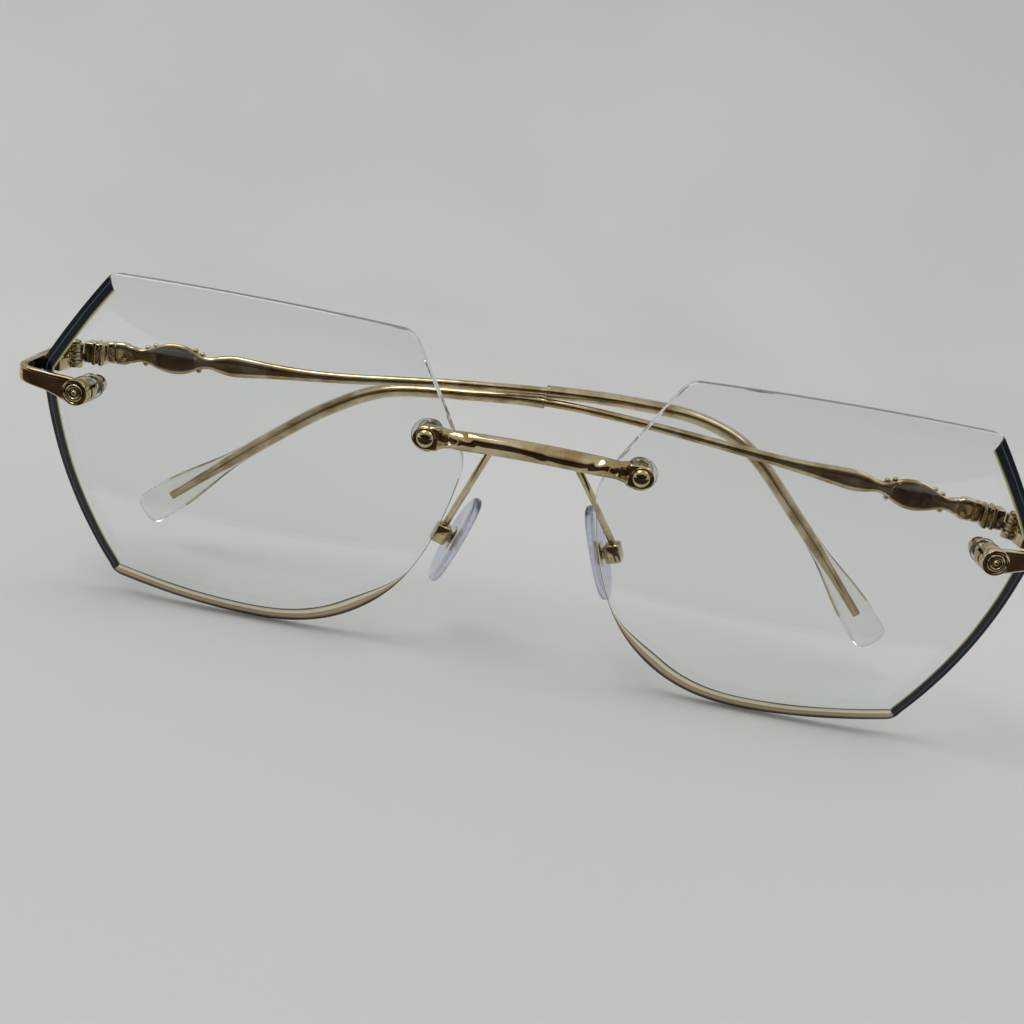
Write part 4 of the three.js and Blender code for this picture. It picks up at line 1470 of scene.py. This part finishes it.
@dataclass
class LensFixings:
    """The screws, cap nuts, washers and bushings that hold the two lenses."""

    palette: Palette
    lens: LensShape = field(default_factory=LensShape)
    gap: float = 0.1
    bore: float = 0.63
    shaft: float = 0.55
    head: float = 1.2
    sleeve: float = 1.0
    flange: float = 1.7
    flange_deep: float = 0.6
    nut_long: float = 2.0
    washer: dict[str, float] = field(default_factory=lambda: {"bridge": 2.2, "endpiece": 1.75})

    def build(self) -> list[bpy.types.Object]:
        """Makes every fixing of both joints on both sides."""
        made: list[bpy.types.Object] = []
        copies = copies_tool()
        for place, joint in (("bridge", BridgeShape()), ("endpiece", EndpieceShape())):
            at = Vector((joint.eye_x, 0, joint.eye_z))
            made.append(self._both(copies, place, "screw", self._screw(place, joint), at))
            made.append(self._both(copies, place, "nut", self._nut(at), at))
            for side in Side:
                made.append(self._washer(place, at, side))
                made.append(self._bushing(place, at, side))
        return made

    def _flange_y(self, at: Vector) -> float:
        """Where the flange of a bushing ends."""
        return self.lens.back(at.x, at.z) + self.gap + self.flange_deep

    def _both(
        self, copies: NodeTool, place: str, kind: str, part: bpy.types.Object, at: Vector
    ) -> bpy.types.Object:
        """Sets a turned part on both sides.

        Args:
            copies: the tool that copies a part to points.
            place: "bridge" or "endpiece".
            kind: the kind of part.
            part: the part, turned about the Y axis through the origin.
            at: the left side's axis.

        Returns:
            The pair as one object.
        """
        points = points_object("joints", [at, Vector((-at.x, at.y, at.z))])
        pair = copies.run(points, f"{place}_{kind}_pair", Part=part, Finish=self.palette.screw)
        bpy.data.objects.remove(part)
        pair.data.set_sharp_from_angle(angle=math.radians(35))
        nodes = [side.node(f"{place}_{kind}") for side in Side]
        return hand_over(pair, Body.FRONT.value, nodes, [self.palette.screw])

    def _screw(self, place: str, joint: BridgeShape | EndpieceShape) -> bpy.types.Object:
        """A screw with its head, about the Y axis."""
        seat = 0.45 - joint.eye_deep
        at = Vector((joint.eye_x, 0, joint.eye_z))
        end = self._flange_y(at) + self.nut_long - 0.5 - self.gap
        if place == "bridge":
            arc = [(0.01, 1.1)] + [
                (self.head * math.sin(a), 0.4 + 0.7 * math.cos(a))
                for a in (math.pi / 2 * k / 10 for k in range(1, 11))
            ]
        else:
            arc = [(0.01, 0.66), (0.1, 0.655), (0.2, 0.62), (0.28, 0.55), (0.34, 0.44), (0.4, 0.36),
                   (0.5, 0.32), (0.6, 0.33), (0.67, 0.4), (0.72, 0.48), (0.78, 0.52), (0.9, 0.52),
                   (1.0, 0.49), (1.12, 0.42), (self.head, 0.3)]
        profile = [(r, seat - h) for r, h in arc] + [
            (self.head, seat), (self.shaft, seat), (self.shaft, end - 0.15), (self.shaft - 0.15, end), (0.01, end)
        ]
        return Shell().lathe(profile, Vector(), segments=56).build(f"{place}_screw_turned", None, 40.0)

    def _nut(self, at: Vector) -> bpy.types.Object:
        """A cap nut with a neck, about the Y axis."""
        start = self._flange_y(at) + self.gap
        end = start + self.nut_long
        profile = [(0.01, end - 0.5), (self.bore, end - 0.5), (self.bore, start), (0.86, start), (0.9, start + 0.05),
                   (0.9, start + 0.42), (0.97, start + 0.47), (1.24, start + 0.52), (1.3, start + 0.6),
                   (1.3, end - 0.55), (1.27, end - 0.4), (1.18, end - 0.22), (1.02, end - 0.09),
                   (0.8, end - 0.02), (0.5, end), (0.01, end)]
        return Shell().lathe(profile, Vector(), segments=56).build("nut_turned", None, 40.0)

    def _draped(
        self, name: str, profile: Sequence[tuple[float, float]], at: Vector, side: Side, seat: float, face: Surface
    ) -> bpy.types.Object:
        """A ring between a flat seat and a face of the lens.

        Args:
            name: the object's name.
            profile: pairs of radius and share of the way from the seat, 0, to the face, 1.
            at: its axis.
            side: the side it belongs to.
            seat: Y of the flat seat.
            face: Y of the lens face.

        Returns:
            The ring.
        """
        shell = Shell().lathe(profile, at, segments=64)
        shell.place(lambda p: Vector((p.x, mix(seat, face(p.x, p.z), p.y), p.z)))
        return shell.build(name, side)

    def _washer(self, place: str, at: Vector, side: Side) -> bpy.types.Object:
        """The clear washer between a metal eye and the lens."""
        r = self.washer[place]
        profile = [(self.bore, 0), (r - 0.08, 0), (r, 0.3), (r, 0.7), (r - 0.08, 1), (self.bore, 1), (self.bore, 0)]
        made = self._draped(side.node(f"{place}_ring"), profile, at, side, self.gap,
                            lambda x, z: self.lens.front(x, z) - self.gap)
        node = side.node(f"{place}_washer")
        return hand_over(made, Body.FRONT.value, [node], [self.palette.nylon])

    def _bushing(self, place: str, at: Vector, side: Side) -> bpy.types.Object:
        """The clear sleeve in the lens hole, with its flange behind the lens."""
        end = self._flange_y(at)
        profile = [(self.sleeve + 0.02, 1), (self.flange - 0.1, 1), (self.flange, 0.8), (self.flange, 0.2),
                   (self.flange - 0.1, 0), (self.sleeve + 0.02, 0), (self.sleeve + 0.02, 1)]
        flange = self._draped("flange", profile, at, side, end, lambda x, z: self.lens.back(x, z) + self.gap)
        start = self.lens.front(at.x, at.z) + 2 * self.gap
        tube = Shell().lathe([(self.bore, start), (self.sleeve, start), (self.sleeve, end), (self.bore, end),
                              (self.bore, start)], at, segments=64).build("tube", side)
        made = join([flange, tube], side.node(f"{place}_grommet"))
        node = side.node(f"{place}_bushing")
        return hand_over(made, Body.FRONT.value, [node], [self.palette.nylon])


# ------------------------------------------------------------------------------------ temple


@dataclass(frozen=True)
class TempleShape:
    """Sizes of a temple, by lengths from its hinge axis."""

    slant: float = 5.0
    offset: float = 1.3
    wire: float = 0.62
    core_end: float = 129.5
    sleeve_start: float = 66.5
    sleeve_end: float = 135.2
    sleeve_radius: float = 0.95
    paddle_high: float = 2.6
    paddle_deep: float = 1.25
    bead: float = 0.42
    left_rise: tuple[tuple[float, float], ...] = (
        (0, 0), (13, 0.65), (31, 1.6), (52, 3.0), (66, 3.25), (77.5, 2.2), (90, 0.3), (98, -3.8),
        (108, -11.4), (136, -34.9),
    )
    right_rise: tuple[tuple[float, float], ...] = (
        (0, 0), (13, 0.75), (34, 1.65), (52, 3.65), (68, 4.9), (80, 5.15), (89, 4.5), (96.5, 1.6),
        (107, -8.2), (134, -37.4),
    )
    ornament: tuple[tuple[float, float, float, float], ...] = (
        (4.3, 1.5, 0.9, 5), (6.6, 1.55, 0.9, 5), (7.6, 1.25, 0.8, 4), (8.7, 0.95, 0.7, 3.2),
        (9.6, 1.1, 0.65, 2.8), (11, 1.65, 0.62, 2.6), (12.4, 2.05, 0.62, 2.6), (13.8, 2.15, 0.62, 2.6),
        (15.2, 1.9, 0.62, 2.6), (16.6, 1.3, 0.62, 2.6), (17.8, 0.9, 0.65, 2.6), (18.8, 0.92, 0.68, 2.6),
        (20, 1.25, 0.72, 2.6), (21.8, 1.5, 0.75, 2.6), (24, 1.38, 0.74, 2.5), (28, 1.05, 0.72, 2.3),
        (34, 0.8, 0.68, 2.1), (44, 0.68, 0.64, 2), (54.5, 0.61, 0.61, 2),
    )
    beads: tuple[tuple[float, int, float], ...] = (
        (9.7, 1, 1.1), (10.8, 1, 1.5), (9.5, -1, 1.05), (16.3, 1, 1.45), (17.3, 1, 1.05), (16.9, -1, 1.2),
    )

    def rise(self, side: Side) -> tuple[tuple[float, float], ...]:
        """How a side's temple is bent."""
        return self.left_rise if side is Side.LEFT else self.right_rise


@dataclass
class Temple:
    """A folded temple: its hinge leaf, ornamented arm, wire, and clear sleeve with a flat tip."""

    side: Side
    palette: Palette
    wires: NodeTool
    balls: NodeTool
    shape: TempleShape = field(default_factory=TempleShape)
    hinge: HingeShape = field(default_factory=HingeShape)

    def __post_init__(self) -> None:
        """Fits the temple's centre line."""
        knots = [self._on(d, z, self.shape.offset) for d, z in self.shape.rise(self.side)]
        self.bend = Bend(knots)

    def build(self) -> list[bpy.types.Object]:
        """Makes the whole temple."""
        return [self._leaf(), self._ornament(), self._beads(), self._wire(), self._sleeve()]

    @property
    def body(self) -> str:
        """The name of its CAD body."""
        return Body.TEMPLE.on(self.side)

    def _on(self, distance: float, height: float, depth: float) -> Vector:
        """The place at a distance along the folded temple, a height, and a depth behind its axis."""
        a = math.radians(self.shape.slant)
        h = self.hinge
        return Vector((
            h.x - distance * math.cos(a) + depth * math.sin(a),
            h.y + distance * math.sin(a) + depth * math.cos(a),
            h.z + h.temple_up + height,
        ))

    def _leaf(self) -> bpy.types.Object:
        """The middle knuckle and the collar block with its two raised rings."""
        h = self.hinge
        z0 = h.bottom + h.knuckle + h.gap
        middle = h.z + h.temple_up
        angle = Matrix.Rotation(math.radians(-self.shape.slant), 3, "Z")
        hub = Vector((h.x, h.y, 0))

        def turned(shell: Shell, name: str, bevel: float) -> bpy.types.Object:
            shell.place(lambda p: angle @ (p - hub) + hub)
            return shell.build(name, self.side, 35.0, bevel)

        def collar(start: float, stop: float, grow: float) -> Shell:
            return Shell().box(
                (h.x - stop, h.y - 0.45 - grow, middle - h.collar_half - grow),
                (h.x - start, h.y + 2.2 + grow, middle + h.collar_half + grow),
            )

        end = h.block_start - h.gap
        tongue = Shell().box((h.x - 2.2, h.y - 0.45, z0), (h.x, h.y + 0.75, z0 + h.knuckle))
        parts = [
            knuckle(h, z0, self.side),
            turned(tongue, "tongue", 0.08),
            turned(collar(h.radius + 2 * h.gap, end, 0.0), "collar", 0.22),
            turned(collar(end - 1.65, end - 1.15, h.collar_ring), "ring_a", 0.15),
            turned(collar(end - 0.75, end - 0.2, h.collar_ring), "ring_b", 0.15),
        ]
        made = join(parts, self.side.node("temple_leaf_collars"))
        node = self.side.node("hinge_temple_leaf")
        return hand_over(made, self.body, [node], [self.palette.gold])

    def _section(self, distance: float) -> Section:
        """The ornament's smooth section at a distance."""
        rows = self.shape.ornament
        k = max(i for i in range(len(rows) - 1) if rows[i][0] <= distance + 1e-9)
        before, here = rows[max(0, k - 1)], rows[k]
        after, beyond = rows[k + 1], rows[min(len(rows) - 1, k + 2)]
        t = (distance - here[0]) / (after[0] - here[0])
        values = []
        for c in (1, 2, 3):
            m0 = (after[c] - before[c]) / max(1e-6, after[0] - before[0]) * (after[0] - here[0])
            m1 = (beyond[c] - here[c]) / max(1e-6, beyond[0] - here[0]) * (after[0] - here[0])
            h00, h10 = 2 * t**3 - 3 * t**2 + 1, t**3 - 2 * t**2 + t
            values.append(h00 * here[c] + h10 * m0 + (1 - h00) * after[c] + (t**3 - t**2) * m1)
        return Section(*values)

    def _ornament(self) -> bpy.types.Object:
        """The block, the leaf plaque and the swelling that tapers to the wire."""
        places = [4.3 + 0.12 * i for i in range(int((26 - 4.3) / 0.12))]
        places += [mix(26.0, 54.5, i / 60) for i in range(61)]
        rings = []
        for distance in places:
            section = self._section(distance)
            shrink = 1 - 0.13 * math.exp(-(((distance - 4.3) / 0.12) ** 2))
            shrink -= 0.07 * math.exp(-(((distance - 5.35) / 0.14) ** 2))
            shrink -= 0.09 * math.exp(-(((distance - 7.45) / 0.16) ** 2))
            centre = self.bend.at(distance)
            across, rise = self.bend.axes(distance, Vector((0, 0, 1)))
            ring = []
            for x, z in section.points(56):
                x = self._relief(distance, x, z, section)
                ring.append(centre + across * x * shrink + rise * z * shrink)
            rings.append(ring)
        shell = Shell().loft(rings)
        for r, distance in enumerate(places[:-1]):
            section = self._section(distance)
            for i, (_, z) in enumerate(section.points(56)):
                # The plaque's sunken faces take the darker gold in slot 1: painted shade.
                if 10.9 < distance < 16.3 and abs(z) < section.high * 0.62:
                    shell.slots[r * 56 + i] = 1
        made = shell.build(self.side.node("temple_ornament"), self.side, 40.0)
        node = self.side.node("temple_arm")
        finishes = [self.palette.gold, self.palette.antique]
        return hand_over(made, self.body, [node], finishes)

    @staticmethod
    def _relief(distance: float, x: float, z: float, section: Section) -> float:
        """Sinks the faces of the leaf plaque inside a raised border.

        Args:
            distance: place along the temple.
            x: place across, the face's height above the middle plane.
            z: place up.
            section: the section there.

        Returns:
            The new place across.
        """
        along = smoothstep(distance, 10.6, 11.3) * (1 - smoothstep(distance, 16.0, 16.7))
        inside = 1 - smoothstep(abs(z) / section.high, 0.58, 0.72)
        facet = 0.05 * abs(((distance * 0.9 - z * 1.1) % 1.6) / 0.8 - 1)
        sink = along * inside * (0.1 + facet)
        return x - math.copysign(min(abs(x) * 0.5, sink), x)

    def _beads(self) -> bpy.types.Object:
        """The beads above and below the leaf."""
        points = []
        for distance, up, reach in self.shape.beads:
            points.append(self.bend.at(distance) + Vector((0, 0, up * reach)))
        carrier = points_object("bead_places", points, self.side)
        made = self.balls.run(
            carrier, self.side.node("temple_beads"), Radius=self.shape.bead * MM, Finish=self.palette.gold
        )
        return hand_over(made, self.body, [], [self.palette.gold])

    def _wire(self) -> bpy.types.Object:
        """The wire from the taper to its end in the sleeve."""
        start, stop = 46.0, self.shape.core_end
        count = 170
        points = [self.bend.at(mix(start, stop, i / count)) for i in range(count + 1)]
        carrier = path_object("wire_path", points, self.side)
        made = self.wires.run(
            carrier, self.side.node("temple_wire"), Radius=self.shape.wire * MM, Sides=28, Finish=self.palette.gold
        )
        made.data.set_sharp_from_angle(angle=math.radians(40))
        return hand_over(made, self.body, [self.side.node("temple_arm")], [self.palette.gold])

    def _sleeve(self) -> bpy.types.Object:
        """The clear sleeve and its flat tip."""
        s = self.shape
        length = s.sleeve_end - s.sleeve_start
        shares = [0.0, 0.0012, 0.003] + [0.9 * i / 110 for i in range(1, 111)]
        shares += [0.9 + 0.1 * math.sin(math.pi / 2 * i / 34) for i in range(1, 35)]
        stations = []
        for t in shares:
            flare = smoothstep(t, 0.7, 0.93)
            ending = max(0.0005, 1 - max(0.0, (t - 0.965) / 0.035) ** 3) ** (1 / 3)
            swell = s.sleeve_radius + 0.12 * min(1.0, t * 3)
            lip = 1 - 0.1 * (1 - smoothstep(t, 0.0, 0.003))
            section = Section(
                mix(swell, s.paddle_high, flare) * ending * lip,
                mix(swell, s.paddle_deep, flare) * max(ending, 0.12) * lip,
                2 + 0.5 * flare,
            )
            stations.append((s.sleeve_start + length * t, section))
        shell = Shell().loft(sweep(self.bend, stations, 48))
        made = shell.build(self.side.node("temple_sleeve"), self.side, 45.0)
        node = self.side.node("temple_tip")
        return hand_over(made, self.body, [node], [self.palette.acetate])


# ------------------------------------------------------------------------------------ nose pad


@dataclass(frozen=True)
class PadShape:
    """Sizes of a nose pad and its mount."""

    length: float = 14.2
    width: float = 6.8
    deep: float = 1.3
    splay: float = 12.0
    lean: float = 21.0
    wire: float = 0.5
    root_x: float = 5.4
    box: float = 2.8
    trim: float = 0.2
    wall: float = 0.45
    stand: float = 1.3
    screw: float = 0.3
    y: float = 9.0
    left: tuple[float, float] = (11.4, -14.8)
    right: tuple[float, float] = (9.2, -16.8)

    @property
    def box_x(self) -> float:
        """How far out of the pad's middle its screw lies."""
        return self.deep / 2 + self.stand


@dataclass
class NosePad:
    """A clear pad with its insert, the box that holds it, its screw and its wire arm."""

    side: Side
    palette: Palette
    wires: NodeTool
    shape: PadShape = field(default_factory=PadShape)

    def build(self) -> list[bpy.types.Object]:
        """Makes the pad and its mount."""
        return [self._pad(), self._insert(), self._box(), self._screw(), self._arm()]

    @property
    def at(self) -> Vector:
        """The middle of the pad, drawn for the left side."""
        x, z = self.shape.left if self.side is Side.LEFT else self.shape.right
        return Vector((x, self.shape.y, z))

    def _placed(self, p: Vector) -> Vector:
        """Turns and moves a point drawn with X out of the nose and Z along the pad."""
        turn = Matrix.Rotation(math.radians(-self.shape.lean), 3, "Y")
        turn = turn @ Matrix.Rotation(math.radians(-self.shape.splay), 3, "Z")
        return turn @ p + self.at

    def _outline(self, count: int) -> list[Vector]:
        """The pad's drop shape as points (Y, Z)."""
        w, l = self.shape.width / 2, self.shape.length / 2
        start = Vector((-w * 0.2, l))
        legs = [
            (Vector((w * 0.75, l)), Vector((w, l * 0.35)), Vector((w, -l * 0.25))),
            (Vector((w, -l * 0.75)), Vector((w * 0.6, -l)), Vector((0, -l))),
            (Vector((-w * 0.75, -l)), Vector((-w, -l * 0.6)), Vector((-w, -l * 0.15))),
            (Vector((-w, l * 0.45)), Vector((-w * 0.8, l)), start),
        ]
        path, here = [], start
        for a, b, c in legs:
            for k in range(count // 4):
                t = k / (count // 4)
                s = 1 - t
                path.append(here * s**3 + a * 3 * s * s * t + b * 3 * s * t * t + c * t**3)
            here = c
        return path

    def _pad(self) -> bpy.types.Object:
        """The pad: a crowned drop that is a little hollow behind."""
        half = self.shape.deep / 2
        flat = self._outline(96)
        rings = []
        layers = [(-0.88, 0.30), (-0.92, 0.55), (-0.94, 0.76), (-0.93, 0.88), (-0.86, 0.95), (-0.68, 0.985),
                  (-0.4, 1.0), (0.1, 1.0), (0.45, 0.985), (0.72, 0.95), (0.9, 0.89), (0.95, 0.8),
                  (0.86, 0.68), (0.8, 0.45), (0.8, 0.2)]
        for depth, scale in layers:
            rings.append([self._placed(Vector((depth * half, p.x * scale, p.y * scale))) for p in flat])
        made = Shell().loft(rings).build(self.side.node("nose_pad_soft"), self.side, 60.0)
        body = Body.NOSE_PAD.on(self.side)
        return hand_over(made, body, [self.side.node("nose_pad")], [self.palette.silicone])

    def _insert(self) -> bpy.types.Object:
        """The metal plate in the pad's back, with the tab that the screw holds."""
        s = self.shape
        seat = s.deep / 2 - 0.6
        plate = Shell().box((seat, -1.05, -1.65), (seat + 0.5, 1.05, 1.65)).place(self._placed)
        tab = Shell().box((seat + 0.25, -0.6, -0.7), (s.box_x + 0.7, 0.6, 0.7)).place(self._placed)
        parts = [plate.build("plate", self.side, 35, 0.15), tab.build("tab", self.side, 35, 0.12)]
        made = join(parts, self.side.node("pad_insert_plate"))
        body = Body.NOSE_PAD.on(self.side)
        return hand_over(made, body, [self.side.node("pad_insert")], [self.palette.gold])

    def _box(self) -> bpy.types.Object:
        """The box at the arm's end, open towards the pad."""
        s = self.shape
        half = s.box / 2
        inner = half - s.wall
        x0 = s.box_x - 0.9
        outer = Shell().box((x0, -half + 0.2, -half), (s.box_x + 1.4, half - 0.2, half)).place(self._placed)
        hollow = Shell().box((x0 - 1, -inner + 0.2, -inner), (s.box_x + 0.95, inner - 0.2, inner))
        made = outer.build("box_blank", self.side, 35, 0.42)
        made = cut(made, [hollow.place(self._placed).build("box_hollow", self.side)])
        made.name = self.side.node("pad_box_case")
        return hand_over(made, Body.FRONT.value, [self.side.node("pad_box")], [self.palette.gold])

    def _screw(self) -> bpy.types.Object:
        """The slotted screw across the box."""
        s = self.shape
        half = s.box / 2 - 0.2
        top = half + 0.1
        profile = [(0.01, -half - 0.1), (s.screw, -half - 0.1), (s.screw, top), (0.6, top), (0.6, top + 0.15),
                   (0.5, top + 0.27), (0.01, top + 0.34)]
        at = Vector((s.box_x, 0, 0))
        blank = Shell().lathe(profile, at, segments=32).place(self._placed).build("pad_screw_blank", self.side)
        slot = Shell().box((s.box_x - 1, top + 0.14, -0.09), (s.box_x + 1, top + 1, 0.09)).place(self._placed)
        made = cut(blank, [slot.build("slot", self.side)])
        made.name = self.side.node("pad_screw_slotted")
        return hand_over(made, Body.FRONT.value, [self.side.node("pad_screw")], [self.palette.screw])

    def _arm(self) -> bpy.types.Object:
        """The wire arm from the back of the bridge to the box."""
        s = self.shape
        end = self._placed(Vector((s.box_x + 0.3, 0, s.box / 2 + 0.1)))
        bridge = BridgeShape()
        root_z = -bridge.arch * (s.root_x / bridge.eye_x) ** 2
        turn = Vector((s.root_x + 0.15, 1.8, root_z - 0.8))
        back = Vector((0, 0.3, 0))
        knots = [Vector((s.root_x, 0.1, root_z)), turn, turn.lerp(end, 0.35) + back, turn.lerp(end, 0.75) + back, end]
        bend = Bend(knots)
        points = [bend.at(bend.length * i / 60) for i in range(61)]
        carrier = path_object("arm_path", points, self.side)
        made = self.wires.run(
            carrier, self.side.node("pad_arm_wire"), Radius=s.wire * MM, Sides=28, Finish=self.palette.gold
        )
        made.data.set_sharp_from_angle(angle=math.radians(40))
        return hand_over(made, Body.FRONT.value, [self.side.node("pad_arm")], [self.palette.gold])


# ------------------------------------------------------------------------------------ studio


@dataclass
class Camera:
    """The viewpoint: a little above and left of the middle, tilted with the frame."""

    position: tuple[float, float, float] = (2.292, -132.52, 32.443)
    down: float = 17.17
    azimuth: float = 1.633
    roll: float = 10.04
    focal: float = 36.914
    sensor: float = 36.0

    def build(self) -> bpy.types.Object:
        """Makes the camera and sets it as the scene's."""
        el, az, roll = (math.radians(v) for v in (self.down, self.azimuth, self.roll))
        forward = Vector((-math.sin(az) * math.cos(el), math.cos(az) * math.cos(el), -math.sin(el)))
        level = forward.cross(Vector((0, 0, 1))).normalized()
        above = level.cross(forward)
        right = level * math.cos(roll) + above * math.sin(roll)
        up = above * math.cos(roll) - level * math.sin(roll)
        data = bpy.data.cameras.new("camera")
        data.lens, data.sensor_width = self.focal, self.sensor
        data.clip_start, data.clip_end = 0.01, 20.0
        obj = bpy.data.objects.new("camera", data)
        turn = Matrix((right, up, -forward)).transposed()
        obj.matrix_world = Matrix.Translation(Vector(self.position) * MM) @ turn.to_4x4()
        bpy.context.scene.collection.objects.link(obj)
        bpy.context.scene.camera = obj
        return obj


@dataclass
class Stage:
    """A pale seamless bowl of a floor, soft lamps, and dark cards that only gloss can see."""

    floor: float
    flat: float = 0.34
    curve: float = 0.22
    wall: float = 0.32

    def build(self) -> None:
        """Makes the floor, the lamps, the cards and the surroundings."""
        self._bowl()
        self._lamp("key", (-0.3, -0.12, 0.75), (0.0, 0.0, 0.0), 0.4, 0.4, 1.75, "#fffdf9")
        self._lamp("fill", (0.5, 0.15, 0.7), (0.0, 0.02, 0.0), 0.6, 0.4, 0.7, "#ffffff")
        self._card("card_behind_camera", (0.0, -0.34, 0.06), (0.8, 0.24), 0.0)
        # A dark sheet on the floor where there is only shade, seen only in reflections: painted dark reflection.
        self._card("card_on_floor", (0.0, -0.18, self.floor + 0.004), (0.7, 0.32), 90.0)
        self._surroundings()
        bpy.context.scene.view_settings.view_transform = "Standard"

    def _bowl(self) -> None:
        """The floor, curving up to a low wall all round."""
        profile = [(self.flat * 0.5, 0.0), (self.flat, 0.0)]
        for k in range(1, 17):
            a = math.pi / 2 * k / 16
            profile.append((self.flat + self.curve * math.sin(a), self.curve * (1 - math.cos(a))))
        profile.append((self.flat + self.curve, self.wall))
        points, faces, segments = [], [], 160
        for radius, height in profile:
            for i in range(segments):
                a = 2 * math.pi * i / segments
                points.append((radius * math.cos(a), radius * math.sin(a), self.floor + height))
        for r in range(len(profile) - 1):
            for i in range(segments):
                j = (i + 1) % segments
                faces.append((r * segments + i, (r + 1) * segments + i, (r + 1) * segments + j, r * segments + j))
        points.append((0.0, 0.0, self.floor))
        faces += [(len(points) - 1, i, (i + 1) % segments) for i in range(segments)]
        mesh = bpy.data.meshes.new("floor")
        mesh.from_pydata(points, [], faces)
        mesh.shade_smooth()
        mesh.materials.append(Paper().build())
        obj = bpy.data.objects.new("floor", mesh)
        bpy.context.scene.collection.objects.link(obj)
        obj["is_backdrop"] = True

    def _lamp(
        self,
        name: str,
        at: tuple[float, float, float],
        aim: tuple[float, float, float],
        wide: float,
        high: float,
        power: float,
        colour: str,
    ) -> None:
        """Adds a rectangular soft lamp, in metres and watts."""
        data = bpy.data.lights.new(name, "AREA")
        data.shape, data.size, data.size_y = "RECTANGLE", wide, high
        data.energy = power
        data.color = linear(colour)[:3]
        obj = bpy.data.objects.new(name, data)
        obj.location = at
        obj.rotation_euler = (Vector(aim) - Vector(at)).to_track_quat("-Z", "Y").to_euler()
        bpy.context.scene.collection.objects.link(obj)

    def _card(
        self, name: str, at: tuple[float, float, float], size: tuple[float, float], lie: float
    ) -> None:
        """Adds a dark card that shows only in the gloss of things.

        Args:
            name: the object's name.
            at: its centre, in metres.
            size: its width and height, in metres.
            lie: how far it leans back, in degrees.
        """
        mesh = bpy.data.meshes.new(name)
        x, z = size[0] / 2, size[1] / 2
        mesh.from_pydata([(-x, 0, -z), (x, 0, -z), (x, 0, z), (-x, 0, z)], [], [(0, 1, 2, 3)])
        material, tree, shader = new_material(name)
        shader.inputs["Base Color"].default_value = linear("#33241a")
        shader.inputs["Roughness"].default_value = 0.9
        ray = add_node(tree, "ShaderNodeLightPath")
        clear = add_node(tree, "ShaderNodeBsdfTransparent")
        seen = add_node(
            tree,
            "ShaderNodeMixShader",
            {0: ray.outputs["Glossy Depth"], 1: clear.outputs["BSDF"], 2: shader.outputs["BSDF"]},
        )
        set_surface(tree, seen.outputs["Shader"])
        mesh.materials.append(material)
        obj = bpy.data.objects.new(name, mesh)
        obj.location = at
        obj.rotation_euler = (-math.radians(lie), 0.0, 0.0)
        obj.visible_camera = obj.visible_diffuse = obj.visible_shadow = False
        bpy.context.scene.collection.objects.link(obj)
        obj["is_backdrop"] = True

    def _surroundings(self) -> None:
        """A pale sky for what is seen, and a room with a dark horizon for what is mirrored."""
        world = bpy.data.worlds.new("room")
        bpy.context.scene.world = world
        world.use_nodes = True
        tree = world.node_tree
        tree.nodes.clear()
        place = add_node(tree, "ShaderNodeTexCoord")
        parts = add_node(tree, "ShaderNodeSeparateXYZ", {"Vector": place.outputs["Generated"]})
        ramp = add_node(tree, "ShaderNodeValToRGB", {"Fac": parts.outputs["Z"]})
        set_ramp(
            ramp,
            [(0.0, "#6b5a4c"), (0.35, "#4a3a30"), (0.5, "#8f8f90"), (0.72, "#f6f3ee"), (1.0, "#dcdcdc")],
        )
        ray = add_node(tree, "ShaderNodeLightPath")
        plain = add_node(
            tree,
            "ShaderNodeMath",
            {0: ray.outputs["Is Glossy Ray"], 1: ray.outputs["Is Camera Ray"]},
            operation="SUBTRACT",
        )
        pick = add_node(
            tree,
            "ShaderNodeMix",
            {"Factor": plain.outputs["Value"], 6: linear("#d3d3d2"), 7: ramp.outputs["Color"]},
            data_type="RGBA",
        )
        back = add_node(tree, "ShaderNodeBackground", {"Color": pick.outputs[2], "Strength": 0.75})
        add_node(tree, "ShaderNodeOutputWorld", {"Surface": back.outputs["Background"]})


# ------------------------------------------------------------------------------------ whole


def box_list(box: object) -> list[list[float]]:
    """A box's two corners as plain lists."""
    low, high = box
    return [[float(v) for v in low], [float(v) for v in high]]


def main() -> None:
    """Builds the eyeglasses, their floor and the camera."""
    logging.basicConfig(level=logging.INFO, format="%(name)s: %(message)s")
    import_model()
    cad_box = box_list(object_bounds())
    Camera().build()
    palette = Palette.mix()
    wires, balls = wire_tool(), bead_tool()
    Bridge(palette).build()
    LensFixings(palette).build()
    for side in Side:
        Lens(side, palette).build()
        Endpiece(side, palette).build()
        Temple(side, palette, wires, balls).build()
        NosePad(side, palette, wires).build()
    Stage(floor=cad_box[0][2] - 0.0003).build()
    LOG.info("CAD box %s", cad_box)


if __name__ == "__main__":
    main()
